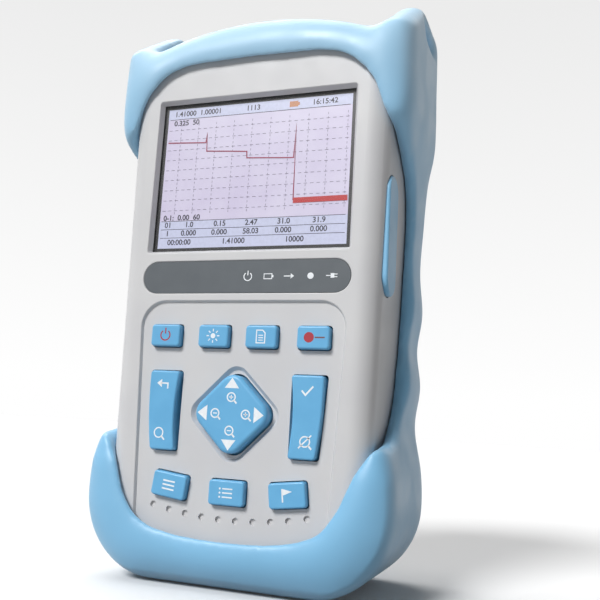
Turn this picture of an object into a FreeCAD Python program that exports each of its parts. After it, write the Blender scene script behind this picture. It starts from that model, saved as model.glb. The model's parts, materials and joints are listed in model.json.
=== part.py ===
import FreeCAD, Part
import math
import os

import Sketcher

# Handheld optical time domain reflectometer: a two-part case with a display and a keypad, in a rubber
# boot with two strap ears. Millimetres. The origin is the middle of the foot, +Z runs up the case and
# the display looks along -Y. A "depth" below is a distance behind the flat face of the case.

SIZES = {
    # Case
    "overall_depth": 64,
    "lip_proud": 4,
    "case_bottom": 4.5,
    "case_top": 190,
    "case_foot_half": 45,
    "case_head_half": 49,
    "case_corner": 23,
    "face_round": 7,
    "back_round": 6,
    "wall": 2.4,
    "parting_depth": 32,
    "case_depth": 56.5,
    "rib_reach": 0.8,
    "fit_gap": 0.3,
    "slip_gap": 0.1,
    "thread_gap": 0.05,
    "cut_reach": 2,
    "rim_round": 0.4,
    # Boot
    "foot_half": 26,
    "foot_round": 28,
    "cup_half": 54,
    "cup_draw": 1,
    "waist_half": 51.2,
    "waist_swell": 0.4,
    "waist_rise": 18,
    "grip_bulge": 1.1,
    "grip_start": 57,
    "grip_pitch": 26,
    "shoulder_half": 55.5,
    "shoulder_bottom": 168,
    "shoulder_draw": 2,
    "shoulder_rise": 17,
    "shoulder_round": 12,
    "band_top": 197,
    "band_round": 122,
    "boot_depth": 60,
    "boot_round": 10,
    "ear_top": 208.5,
    "ear_thick": 11.5,
    "ear_slope_start": 187,
    "ear_slope_depth": 25,
    "ear_crown": 8,
    "ear_round": 4,
    "ear_root": 2,
    "boot_cut_spare": 10,
    "scoop_inner_half": 42,
    "strap_slot_front": 24,
    "strap_slot_back": 46,
    "strap_slot_height": 5,
    "strap_slot_level": 200,
    "back_window_half": 38.5,
    "back_window_bottom": 24,
    "back_window_top": 172,
    "back_window_corner": 12,
    "port_well_half": 29,
    "port_well_front": 12,
    "port_well_back": 50,
    "port_well_corner": 8,
    "port_well_sink": 8,
    # Display
    "view_width": 70.08,
    "view_height": 52.56,
    "view_bottom": 113,
    "bezel_margin": 2.36,
    "bezel_depth": 2,
    "bezel_slope": 1,
    "bezel_corner": 1.2,
    "window_thick": 0.8,
    "window_ledge": 1,
    "panel_width": 76.9,
    "panel_height": 63.9,
    "panel_thick": 3.2,
    "frame_width": 3.6,
    "frame_corner": 3,
    "bracket_thick": 0.8,
    # Label strip
    "strip_level": 101.9,
    "strip_half": 37.9,
    "strip_height": 11.3,
    "strip_thick": 0.9,
    # Keypad
    "recess_depth": 1.1,
    "recess_slope": 0.6,
    "recess_top": 93.8,
    "recess_top_half": 37.6,
    "recess_bottom": 12,
    "recess_bottom_half": 33.4,
    "recess_corner": 9,
    "backing_depth": 4,
    "key_proud": 1.2,
    "key_gap": 0.35,
    "key_flange": 1,
    "key_flange_reach": 1.1,
    "key_plunger": 0.9,
    "key_travel": 0.8,
    "key_edge": 0.7,
    "key_corner": 1.2,
    "top_row_level": 81.5,
    "top_row_inner": 8.6,
    "top_row_outer": 26.6,
    "top_key_half_width": 5.5,
    "top_key_half_height": 3.75,
    "tall_key_bottom": 43,
    "tall_key_top": 69.4,
    "tall_key_inner": 19.9,
    "tall_key_outer_bottom": 29.6,
    "tall_key_outer_top": 31.6,
    "low_key_level": 31.8,
    "low_key_offset": 20.7,
    "low_key_middle_level": 30.9,
    "low_key_half_width": 6.2,
    "low_key_half_height": 4,
    "low_key_tilt": 7,
    "pad_level": 56,
    "pad_half": 14.8,
    "pad_corner": 5,
    "pad_proud": 2,
    "pad_gap": 0.6,
    "pad_dome": 1.4,
    "pad_tilt_depth": 3.2,
    "dish_half": 17.8,
    "dish_depth": 1.3,
    "dish_slope": 1.2,
    "dimple_radius": 1.1,
    "dimple_depth": 0.8,
    "dimple_pitch": 6,
    "dimple_level": 22.2,
    "dimple_arc": 128,
    "mat_depth": 7.2,
    "mat_thick": 0.8,
    "dome_thick": 0.5,
    "dome_radius": 2.6,
    "board_thick": 1.6,
    "key_board_half": 29.5,
    "key_board_bottom": 20,
    "key_board_top": 92,
    "key_board_leg_rise": 2,
    # Inside
    "main_board_depth": 14,
    "main_board_half": 36,
    "main_board_bottom": 33,
    "main_board_top": 182,
    "board_corner": 3,
    "board_boss_radius": 2.5,
    "board_boss_half": 33.5,
    "board_boss_low": 38,
    "board_boss_middle": 100,
    "board_boss_high_half": 30,
    "board_boss_high": 178,
    "board_screw_radius": 1.1,
    "board_screw_bite": 6,
    "board_screw_hole": 8,
    "shell_boss_radius": 3.3,
    "shell_boss_low_half": 30,
    "shell_boss_low": 14.5,
    "shell_boss_high_half": 40,
    "shell_boss_high": 176,
    "shell_screw_radius": 1.5,
    "shell_screw_bite": 10,
    "shell_screw_hole": 12,
    "shell_head_recess": 4,
    "shell_head_thick": 2.2,
    "screw_head_thick": 1.8,
    "shield_left": -24,
    "shield_right": 16,
    "shield_bottom": 44,
    "shield_top": 92,
    "shield_height": 6,
    "shield_corner": 2,
    "buzzer_radius": 5.5,
    "buzzer_height": 4.2,
    "buzzer_level": 99.5,
    "module_half": 30,
    "module_bottom": 108,
    "module_top": 172,
    "module_thick": 15,
    "spool_level": 128,
    "spool_bore": 6,
    "spool_core": 20,
    "spool_radius": 24,
    "spool_width": 9,
    "spool_cheek": 1,
    "gasket_width": 1,
    "gasket_thick": 0.8,
    # Ports on the top
    "plate_half": 25,
    "plate_front": 16,
    "plate_back": 48,
    "plate_flange": 2,
    "plate_lower_inset": 0.9,
    "port_offset": 12.5,
    "port_depth": 32,
    "adapter_flange": 15,
    "adapter_flange_thick": 1.6,
    "adapter_corner": 1.5,
    "adapter_barrel": 4,
    "adapter_rise": 8.5,
    "adapter_body": 4.6,
    "adapter_drop": 14,
    "sleeve_bore": 1.25,
    "sleeve_wall": 0.45,
    "sleeve_length": 14,
    "sleeve_sink": 1,
    "port_screw_inset": 1.9,
    "port_screw_radius": 1.3,
    "port_screw_thick": 0.9,
    "cap_wall": 1,
    "cap_height": 11,
    # Ports on the side
    "cover_depth": 11.5,
    "cover_width": 13,
    "cover_bottom": 97,
    "cover_top": 138,
    "cover_proud": 1.2,
    "cover_thick": 2.8,
    "side_boss_reach": 5,
    "port_row_depth": 13.4,
    "port_body": 5.6,
    "port_reach": 8,
    "port_end": 1.5,
    "port_corner": 0.4,
    "port_shell": 0.7,
    "jack_level": 105,
    "jack_height": 9,
    "jack_bore": 2.1,
    "data_port_level": 115.5,
    "data_port_height": 7.7,
    "host_port_level": 127.5,
    "host_port_height": 13.1,
    # Battery and back
    "well_half": 33,
    "well_bottom": 34,
    "well_top": 98,
    "well_floor_depth": 36,
    "well_wall": 2,
    "contact_height": 2.5,
    "contact_half": 2,
    "contact_pitch": 9,
    "contact_clear": 6.9,
    "door_half": 36,
    "door_bottom": 30,
    "door_top": 107,
    "door_thick": 1.6,
    "door_corner": 4,
    "door_screw_offset": 27,
    "door_screw_level": 102.5,
    "door_head_radius": 2.4,
    "door_head": 0.9,
    "door_screw_length": 6,
    "door_screw_hole": 7,
    "door_boss_length": 10,
    "stand_half": 30,
    "stand_bottom": 48,
    "stand_thick": 2.6,
    "stand_corner": 9,
    "stand_window_bottom": 66,
    "stand_window_top": 138,
    "stand_bar": 12,
    "stand_drop": 2,
    "stand_neck": 12,
    "stand_window_corner": 6,
    "hinge_level": 158,
    "hinge_barrel": 3,
    "hinge_pin_radius": 1.25,
    "hinge_clearance": 0.05,
    "hinge_half": 22,
    "hinge_block": 5,
    "hinge_wall": 3,
}

DIMPLE_COUNT = 10
ROUND_END = 0.49  # of a slot's width: just under half, so that its ends stay arcs
INNER_ROUND = 0.47  # of a rubber plug's thickness
OUTER_ROUND = 0.7  # of how far the plug stands proud
PAD_DOME_SHARE = 0.6  # of the diamond's half: where its four domes lie
NEAR = 0.01  # a point this near a plane lies on it

# Outlines that follow the hand-drawn curves of the boot, as pairs of X and Z, or of depth and Z
FOOT_LIP = [(0, 16.2), (14, 16.8), (25, 18.7), (31, 21.3)]
FOOT_LIP += [(35.5, 26.3), (38.7, 32.7), (42.5, 41.5), (48, 50)]
BROW_LIP = [(48.5, 150), (45, 159.5), (39, 172.3), (31, 178.4), (14, 180.2), (0, 180.5)]
FLANK_SCOOP = [
    (-14, 46),
    (0.6, 48.8),
    (16, 51.6),
    (25, 59.5),
    (29.3, 71),
    (32, 88),
    (33, 112),
    (31.6, 132),
    (26.5, 141.8),
    (16, 147),
    (0, 154.8),
    (-14, 160.5),
]

document = FreeCAD.newDocument("reflectometer")
sheet = document.addObject("Spreadsheet::Sheet", "sizes")
for row, (alias, amount) in enumerate(SIZES.items(), start=1):
    sheet.set("A%d" % row, alias)
    sheet.set("B%d" % row, str(amount))
    sheet.setAlias("B%d" % row, alias)
document.recompute()

parts = []
LEFT_AND_RIGHT = (-1, 1)


class Length:
    """A size and the sheet expression it comes from, so that a sum of sizes stays bound to the sheet."""

    def __init__(self, number, text):
        self.number = float(number)
        self.text = text

    def __add__(self, other):
        other = as_length(other)
        return Length(self.number + other.number, "(%s + %s)" % (self.text, other.text))

    def __sub__(self, other):
        other = as_length(other)
        return Length(self.number - other.number, "(%s - %s)" % (self.text, other.text))

    def __mul__(self, factor):
        return Length(self.number * factor, "(%s * %r)" % (self.text, factor))

    def __truediv__(self, factor):
        return Length(self.number / factor, "(%s / %r)" % (self.text, factor))

    def __neg__(self):
        return Length(-self.number, "(0 - %s)" % self.text)

    __radd__ = __add__

    def __rsub__(self, other):
        return as_length(other) - self


def as_length(amount):
    """A plain number is a Length with no size behind it."""
    if isinstance(amount, Length):
        return amount
    return Length(amount, repr(float(amount)))


class Sizes:
    """The sheet's sizes by name, such as size.wall."""

    def __getattr__(self, alias):
        return Length(SIZES[alias], "sizes." + alias)


size = Sizes()
face_y = size.lip_proud - size.overall_depth / 2


def behind(depth):
    """The Y of a place that lies this far behind the flat face of the case."""
    return face_y + depth


def bind(item, setting, amount):
    """Bind one setting of an object to the sheet."""
    item.setExpression(setting, as_length(amount).text)


def place(item, x, y, z):
    """Bind an object's place, leaving its turn as it is."""
    for axis, amount in zip("xyz", (x, y, z)):
        bind(item, "Placement.Base." + axis, amount)


def keep(item, label):
    """Name a finished sub-part and list it for writing."""
    item.Label = label
    parts.append(item)
    return item


# Sketches


def new_body(name, x=0, y=face_y, z=0):
    """A body whose own Y is the depth behind the face, unless another place is given."""
    body = document.addObject("PartDesign::Body", name)
    place(body, x, y, z)
    return body


def sketch_on(body, role, offset=0):
    """A sketch on one of the body's own planes, moved along that plane's normal."""
    sketch = body.newObject("Sketcher::SketchObject", body.Name + "_sketch")
    plane = [feature for feature in body.Origin.OriginFeatures if feature.Role == role][0]
    sketch.AttachmentSupport = [(plane, "")]
    sketch.MapMode = "FlatFace"
    bind(sketch, "AttachmentOffset.Base.z", offset)
    return sketch


def front_sketch(body, depth=0):
    """A sketch seen from the front: its x is X, its y is Z, at a depth behind the body's origin."""
    return sketch_on(body, "XZ_Plane", -as_length(depth))


def plan_sketch(body, level=0):
    """A sketch seen from above: its x is X and its y is Y, at a height."""
    return sketch_on(body, "XY_Plane", level)


def side_sketch(body, reach=0):
    """A sketch seen from the side: its x is Y and its y is Z, at a place along X."""
    return sketch_on(body, "YZ_Plane", reach)


def bind_constraint(sketch, kind, amount, *where):
    """Add one dimension to a sketch and bind it to the sheet."""
    amount = as_length(amount)
    index = sketch.addConstraint(Sketcher.Constraint(kind, *where, amount.number))
    sketch.setExpression("Constraints[%d]" % index, amount.text)


def hold_point(sketch, curve, end, x, y):
    """Fix one end of a curve, or the centre of a circle, at a bound place."""
    bind_constraint(sketch, "DistanceX", x, curve, end)
    bind_constraint(sketch, "DistanceY", y, curve, end)


def add_circle(sketch, x, y, radius):
    """Draw a circle with a bound centre and radius."""
    x, y, radius = as_length(x), as_length(y), as_length(radius)
    centre = FreeCAD.Vector(x.number, y.number, 0)
    curve = sketch.addGeometry(Part.Circle(centre, FreeCAD.Vector(0, 0, 1), radius.number), False)
    hold_point(sketch, curve, 3, x, y)
    bind_constraint(sketch, "Radius", radius, curve)


def add_outline(sketch, corners, rounding=0):
    """Draw a closed outline through bound corners, each rounded to the same bound radius."""
    corners = [(as_length(x), as_length(y)) for x, y in corners]
    rounding = as_length(rounding)
    spots = [FreeCAD.Vector(x.number, y.number, 0) for x, y in corners]
    count = len(spots)
    first = sketch.GeometryCount
    for index in range(count):
        sketch.addGeometry(Part.LineSegment(spots[index], spots[(index + 1) % count]), False)
    for index in range(count):
        following = first + (index + 1) % count
        sketch.addConstraint(Sketcher.Constraint("Coincident", first + index, 2, following, 1))
        hold_point(sketch, first + index, 1, *corners[index])
    if rounding.number > 0:
        for index in range(count):
            sketch.fillet(first + index, 2, rounding.number, True, True)
        for curve in range(first + count, sketch.GeometryCount):
            if isinstance(sketch.Geometry[curve], Part.ArcOfCircle):
                bind_constraint(sketch, "Radius", rounding, curve)


def add_rectangle(sketch, left, right, bottom, top, rounding=0):
    """Draw a rectangle from its four sides."""
    add_outline(sketch, [(left, bottom), (right, bottom), (right, top), (left, top)], rounding)


def add_turned_rectangle(sketch, x, y, half_width, half_height, degrees, rounding=0):
    """Draw a rectangle turned about its own centre, anticlockwise."""
    across = math.cos(math.radians(degrees))
    along = math.sin(math.radians(degrees))
    corners = []
    for side, rise in ((-1, -1), (1, -1), (1, 1), (-1, 1)):
        corner_x = x + half_width * (side * across) - half_height * (rise * along)
        corner_y = y + half_width * (side * along) + half_height * (rise * across)
        corners.append((corner_x, corner_y))
    add_outline(sketch, corners, rounding)


def case_corners(inset=0):
    """The four corners of the case's outline, moved inwards."""
    foot = size.case_foot_half - inset
    head = size.case_head_half - inset
    bottom = size.case_bottom + inset
    top = size.case_top - inset
    return [(-foot, bottom), (foot, bottom), (head, top), (-head, top)]


# Features


def pad(body, sketch, length, back=False):
    """Grow a sketch into a solid, along its normal or back against it."""
    feature = body.newObject("PartDesign::Pad", body.Name + "_pad")
    feature.Profile = sketch
    bind(feature, "Length", length)
    feature.Reversed = back
    document.recompute()
    return feature


def pad_rearward(body, sketch, length):
    """Grow a front sketch away from the viewer."""
    return pad(body, sketch, length, back=True)


def pocket(body, sketch, length, forward=False, taper=0):
    """Cut a sketch into the solid: against its normal, or along it."""
    before = body.Tip.Shape.Volume
    feature = body.newObject("PartDesign::Pocket", body.Name + "_pocket")
    feature.Profile = sketch
    bind(feature, "Length", length)
    feature.Reversed = forward
    if taper:
        bind(feature, "TaperAngle", taper)
    document.recompute()
    if feature.Shape.Volume >= before:
        raise RuntimeError("a pocket in %s cuts nothing" % body.Name)
    return feature


def inward_slope(run, depth):
    """The taper that brings a pocket's wall in by a run over its depth."""
    degrees = -math.degrees(math.atan2(run.number, depth.number))
    return Length(degrees, "-atan(%s / %s)" % (run.text, depth.text))


def turn(body, sketch):
    """Turn a half profile about the body's Z axis."""
    feature = body.newObject("PartDesign::Revolution", body.Name + "_revolution")
    feature.Profile = sketch
    axis = [item for item in body.Origin.OriginFeatures if item.Role == "Z_Axis"][0]
    feature.ReferenceAxis = (axis, [""])
    feature.Angle = 360
    document.recompute()
    return feature


def edges_that(feature, test):
    """Names of the edges whose every sampled point passes the test."""
    names = []
    for index, edge in enumerate(feature.Shape.Edges, start=1):
        if all(test(point) for point in edge.discretize(5)):
            names.append("Edge%d" % index)
    return names


def round_edges(body, test, radius):
    """Round the edges that pass the test."""
    base = body.Tip
    names = edges_that(base, test)
    feature = body.newObject("PartDesign::Fillet", body.Name + "_fillet")
    feature.Base = (base, names)
    bind(feature, "Radius", radius)
    document.recompute()
    return feature


def soften_rim(body, half, bottom, top):
    """Round the edge that a hollow leaves in the flat face, inside the given reach."""

    def on_rim(point):
        inside = bottom.number - NEAR < point.z < top.number + NEAR
        return abs(point.y) < NEAR and abs(point.x) < half.number + NEAR and inside

    round_edges(body, on_rim, size.rim_round)


def hollow(body, test, wall):
    """Turn the solid into a shell of one wall, open at the face that passes the test."""
    base = body.Tip
    faces = ["Face%d" % index for index, face in enumerate(base.Shape.Faces, start=1) if test(face)]
    feature = body.newObject("PartDesign::Thickness", body.Name + "_shell")
    feature.Base = (base, faces)
    bind(feature, "Value", wall)
    feature.Reversed = True
    feature.Join = "Intersection"
    document.recompute()
    return feature


def box(name, left, right, front, back, bottom, top):
    """A plain block from its six sides; front and back are depths behind the face."""
    item = document.addObject("Part::Box", name)
    bind(item, "Length", as_length(right) - left)
    bind(item, "Width", as_length(back) - front)
    bind(item, "Height", as_length(top) - bottom)
    place(item, left, behind(front), bottom)
    return item


def cylinder(name, radius, length, x, depth, z, along):
    """A round bar that starts at a place and runs along one of the axes."""
    item = document.addObject("Part::Cylinder", name)
    turns = {
        "x": FreeCAD.Rotation(FreeCAD.Vector(0, 1, 0), 90),
        "y": FreeCAD.Rotation(FreeCAD.Vector(1, 0, 0), -90),
        "z": FreeCAD.Rotation(),
    }
    item.Placement = FreeCAD.Placement(FreeCAD.Vector(), turns[along])
    bind(item, "Radius", radius)
    bind(item, "Height", length)
    place(item, x, behind(depth), z)
    return item


def fuse(name, items):
    """Join solids into one."""
    joined = document.addObject("Part::MultiFuse", name)
    joined.Shapes = items
    joined.Refine = True
    return joined


def cut(name, base, tool):
    """Take one solid away from another."""
    rest = document.addObject("Part::Cut", name)
    rest.Base = base
    rest.Tool = tool
    return rest


def collect(name, items):
    """Hold separate like solids together as one sub-part."""
    group = document.addObject("Part::Compound", name)
    group.Links = items
    return group


def mirrored_spots(spots):
    """Each place and its mirror image across the middle of the case."""
    return [(x * side, z) for x, z in spots for side in LEFT_AND_RIGHT]


# Places that more than one piece shares

case_rear = size.case_depth - size.parting_depth
view_top = size.view_bottom + size.view_height
view_middle = size.view_bottom + size.view_height / 2
bezel_half = size.view_width / 2 + size.bezel_margin
bezel_bottom = size.view_bottom - size.bezel_margin
bezel_top = view_top + size.bezel_margin
panel_bottom = view_middle - size.panel_height / 2
panel_top = view_middle + size.panel_height / 2
frame_depth = size.bezel_depth + size.window_thick
window_half = bezel_half - size.bezel_slope + size.window_ledge
window_bottom = bezel_bottom + size.bezel_slope - size.window_ledge
window_top = bezel_top - size.bezel_slope + size.window_ledge
strip_bottom = size.strip_level - size.strip_height / 2
strip_top = size.strip_level + size.strip_height / 2
strip_round = size.strip_height * ROUND_END
key_board_depth = size.mat_depth + size.mat_thick + size.dome_thick
main_board_back = size.main_board_depth + size.board_thick
board_boss_spots = [
    (size.board_boss_half, size.board_boss_low),
    (size.board_boss_half, size.board_boss_middle),
    (size.board_boss_high_half, size.board_boss_high),
]
shell_boss_spots = [
    (size.shell_boss_low_half, size.shell_boss_low),
    (size.shell_boss_high_half, size.shell_boss_high),
]
door_screw_spots = [(size.door_screw_offset, size.door_screw_level)]
cover_back = size.cover_depth + size.cover_width / 2
cover_front = size.cover_depth - size.cover_width / 2


def case_half_at(level):
    """Half the case's width at a height, on its tapered sides."""
    rise = (level - SIZES["case_bottom"]) / (SIZES["case_top"] - SIZES["case_bottom"])
    return size.case_foot_half + (size.case_head_half - size.case_foot_half) * rise


# Keys: each has a name, a centre and an outline of its own


def top_key_outline(x):
    """A key of the top row, grown by a margin."""

    def draw(sketch, margin, rounding):
        add_rectangle(
            sketch,
            x - size.top_key_half_width - margin,
            x + size.top_key_half_width + margin,
            size.top_row_level - size.top_key_half_height - margin,
            size.top_row_level + size.top_key_half_height + margin,
            rounding,
        )

    return draw


def tall_key_outline(side):
    """A tall key beside the diamond pad: upright inside, leaning outwards outside."""

    def draw(sketch, margin, rounding):
        inner = (size.tall_key_inner - margin) * side
        low = (size.tall_key_outer_bottom + margin) * side
        high = (size.tall_key_outer_top + margin) * side
        bottom = size.tall_key_bottom - margin
        top = size.tall_key_top + margin
        add_outline(sketch, [(inner, bottom), (low, bottom), (high, top), (inner, top)], rounding)

    return draw


def low_key_outline(x, level, degrees):
    """A key of the bottom row, turned to follow the smile of the row."""

    def draw(sketch, margin, rounding):
        half_width = size.low_key_half_width + margin
        half_height = size.low_key_half_height + margin
        add_turned_rectangle(sketch, x, level, half_width, half_height, degrees, rounding)

    return draw


def pad_outline(half):
    """The diamond of the four-way pad."""

    def draw(sketch, margin, rounding):
        reach = half + margin
        level = size.pad_level
        sides = [(-reach, level), (as_length(0), level - reach)]
        sides += [(reach, level), (as_length(0), level + reach)]
        add_outline(sketch, sides, rounding)

    return draw


KEYS = {
    "power_key": top_key_outline(-size.top_row_outer),
    "source_key": top_key_outline(-size.top_row_inner),
    "file_key": top_key_outline(size.top_row_inner),
    "fault_key": top_key_outline(size.top_row_outer),
    "escape_key": tall_key_outline(-1),
    "enter_key": tall_key_outline(1),
    "menu_key": low_key_outline(-size.low_key_offset, size.low_key_level, -SIZES["low_key_tilt"]),
    "info_key": low_key_outline(as_length(0), size.low_key_middle_level, 0),
    "marker_key": low_key_outline(size.low_key_offset, size.low_key_level, SIZES["low_key_tilt"]),
}

tall_key_middle = (size.tall_key_bottom + size.tall_key_top) / 2
tall_key_centre = (size.tall_key_inner + size.tall_key_outer_bottom) / 2
KEY_CENTRES = [
    (-size.top_row_outer, size.top_row_level),
    (-size.top_row_inner, size.top_row_level),
    (size.top_row_inner, size.top_row_level),
    (size.top_row_outer, size.top_row_level),
    (-tall_key_centre, tall_key_middle),
    (tall_key_centre, tall_key_middle),
    (-size.low_key_offset, size.low_key_level),
    (as_length(0), size.low_key_middle_level),
    (size.low_key_offset, size.low_key_level),
]


def build_key(name, outline):
    """A cap through the case's wall, a flange that keeps it in, and a plunger for its dome."""
    body = new_body(name)
    cap_back = size.backing_depth + size.fit_gap
    cap = front_sketch(body, -size.key_proud)
    outline(cap, 0, size.key_corner)
    pad_rearward(body, cap, size.key_proud + cap_back)
    round_edges(body, lambda point: point.y < -SIZES["key_proud"] + NEAR, size.key_edge)
    flange = front_sketch(body, cap_back)
    outline(flange, size.key_flange_reach, size.key_corner)
    pad_rearward(body, flange, size.key_flange)
    plunger = front_sketch(body, cap_back + size.key_flange)
    outline(plunger, -size.key_flange_reach, size.key_corner)
    pad_rearward(body, plunger, size.key_plunger)
    keep(body, name)


# Case shells


def build_case_form():
    """The whole case as one solid form, which the boot is moulded round."""
    body = new_body("case_form")
    outline = front_sketch(body)
    add_outline(outline, case_corners(), size.case_corner)
    pad_rearward(body, outline, size.case_depth)
    round_edges(body, lambda point: point.y < NEAR, size.face_round)
    round_edges(body, lambda point: point.y > SIZES["case_depth"] - NEAR, size.back_round)
    return body


def add_bosses(body, spots, radius, start, length):
    """Round bosses inside a shell, grown rearwards from a depth."""
    sketch = front_sketch(body, start)
    for x, z in mirrored_spots(spots):
        add_circle(sketch, x, z, radius)
    pad_rearward(body, sketch, length)


def drill(body, spots, radius, depth, length, forward=False):
    """Round holes at mirrored places, cut rearwards or forwards from a depth."""
    sketch = front_sketch(body, depth)
    for x, z in mirrored_spots(spots):
        add_circle(sketch, x, z, radius)
    pocket(body, sketch, length, forward)


def build_front_shell():
    """The front half: a rounded tray with the display frame, the keypad floor and all bosses."""
    body = new_body("front_shell")
    outline = front_sketch(body)
    add_outline(outline, case_corners(), size.case_corner)
    pad_rearward(body, outline, size.parting_depth)
    round_edges(body, lambda point: point.y < NEAR, size.face_round)
    parting = SIZES["parting_depth"]
    hollow(body, lambda face: face.BoundBox.YMin > parting - NEAR, size.wall)
    inside = size.wall - size.rib_reach

    frame = front_sketch(body, inside)
    half = bezel_half + size.frame_width
    frame_bottom = bezel_bottom - size.frame_width
    add_rectangle(frame, -half, half, frame_bottom, bezel_top + size.frame_width, size.frame_corner)
    pad_rearward(body, frame, frame_depth - inside)
    backing = front_sketch(body, inside)
    backing_half = size.recess_bottom_half + size.wall
    backing_top = size.recess_top + size.wall
    add_rectangle(
        backing, -backing_half, backing_half, size.recess_bottom, backing_top, size.recess_corner
    )
    pad_rearward(body, backing, size.backing_depth - inside)
    add_bosses(body, board_boss_spots, size.board_boss_radius, inside, size.main_board_depth - inside)
    add_bosses(body, shell_boss_spots, size.shell_boss_radius, inside, size.parting_depth - inside)

    side_boss = front_sketch(body, size.wall)
    side_wall = case_half_at((SIZES["cover_bottom"] + SIZES["cover_top"]) / 2)
    add_rectangle(
        side_boss,
        side_wall - size.side_boss_reach,
        side_wall - size.wall / 2,
        size.cover_bottom - size.wall,
        size.cover_top + size.wall,
    )
    pad_rearward(body, side_boss, cover_back + size.wall)

    opening = front_sketch(body)
    add_rectangle(opening, -bezel_half, bezel_half, bezel_bottom, bezel_top, size.bezel_corner)
    pocket(body, opening, size.bezel_depth, taper=inward_slope(size.bezel_slope, size.bezel_depth))
    soften_rim(body, bezel_half, bezel_bottom, bezel_top)
    seat = front_sketch(body, frame_depth)
    gap = size.slip_gap
    add_rectangle(
        seat, -window_half - gap, window_half + gap, window_bottom - gap, window_top + gap, size.bezel_corner
    )
    pocket(body, seat, size.window_thick, forward=True)
    strip = front_sketch(body)
    add_rectangle(strip, -size.strip_half, size.strip_half, strip_bottom, strip_top, strip_round)
    pocket(body, strip, size.strip_thick + size.slip_gap)
    soften_rim(body, size.strip_half, strip_bottom, strip_top)

    recess = front_sketch(body)
    recess_foot = size.recess_bottom_half
    recess_head = size.recess_top_half
    recess_corners = [
        (-recess_foot, size.recess_bottom),
        (recess_foot, size.recess_bottom),
        (recess_head, size.recess_top),
        (-recess_head, size.recess_top),
    ]
    add_outline(recess, recess_corners, size.recess_corner)
    pocket(body, recess, size.recess_depth, taper=inward_slope(size.recess_slope, size.recess_depth))
    soften_rim(body, size.recess_top_half, size.recess_bottom, size.recess_top)
    dish = front_sketch(body, size.recess_depth)
    pad_outline(size.dish_half)(dish, 0, size.pad_corner)
    pocket(body, dish, size.dish_depth, taper=inward_slope(size.dish_slope, size.dish_depth))
    for draw in KEYS.values():
        hole = front_sketch(body)
        draw(hole, size.key_gap, size.key_corner)
        pocket(body, hole, size.backing_depth)
    hole = front_sketch(body)
    pad_outline(size.pad_half)(hole, size.pad_gap, size.pad_corner)
    pocket(body, hole, size.backing_depth)
    dimples = front_sketch(body, size.recess_depth)
    for index in range(DIMPLE_COUNT):
        x = size.dimple_pitch * (index - (DIMPLE_COUNT - 1) / 2)
        drop = SIZES["dimple_arc"] - math.sqrt(SIZES["dimple_arc"] ** 2 - x.number ** 2)
        add_circle(dimples, x, size.dimple_level + drop, size.dimple_radius)
    pocket(body, dimples, size.dimple_depth)

    board_hole = size.board_screw_hole
    shell_hole = size.shell_screw_hole
    drill(body, board_boss_spots, size.board_screw_radius, size.main_board_depth, board_hole, forward=True)
    drill(body, shell_boss_spots, size.shell_screw_radius, size.parting_depth, shell_hole, forward=True)
    groove = front_sketch(body, size.parting_depth)
    draw_gasket(groove)
    pocket(body, groove, size.gasket_thick, forward=True)
    cut_plate_opening(body, size.plate_front, size.parting_depth)
    cut_cover_seat(body, side_wall)
    keep(body, "front_shell")


def draw_gasket(sketch):
    """The ring of the seal, in the middle of the wall."""
    margin = (size.wall - size.gasket_width) / 2
    add_outline(sketch, case_corners(margin), size.case_corner - margin)
    inner = margin + size.gasket_width
    add_outline(sketch, case_corners(inner), size.case_corner - inner)


def cut_plate_opening(body, front, back):
    """One shell's half of the opening for the connector plate."""
    opening = plan_sketch(body, size.case_top)
    add_rectangle(opening, -size.plate_half, size.plate_half, front, back)
    pocket(body, opening, size.wall + size.back_round)


def cut_cover_seat(body, side_wall):
    """The seat of the side cover and the three port openings behind it."""
    outer = side_wall + size.cut_reach
    seat = side_sketch(body, outer)
    gap = size.fit_gap
    rounding = size.cover_width * ROUND_END
    add_rectangle(
        seat, cover_front - gap, cover_back + gap, size.cover_bottom - gap, size.cover_top + gap, rounding
    )
    pocket(body, seat, size.cut_reach + size.cover_thick - size.cover_proud + gap)
    openings = side_sketch(body, outer)
    front = size.port_row_depth - size.port_body / 2 - size.slip_gap
    back = size.port_row_depth + size.port_body / 2 + size.slip_gap
    for level, height in SIDE_PORTS.values():
        reach = height / 2 + size.slip_gap
        add_rectangle(openings, front, back, level - reach, level + reach)
    pocket(body, openings, size.cut_reach + size.side_boss_reach + size.wall)


SIDE_PORTS = {
    "dc_jack": (size.jack_level, size.jack_height),
    "usb_device_port": (size.data_port_level, size.data_port_height),
    "usb_host_port": (size.host_port_level, size.host_port_height),
}


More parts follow.
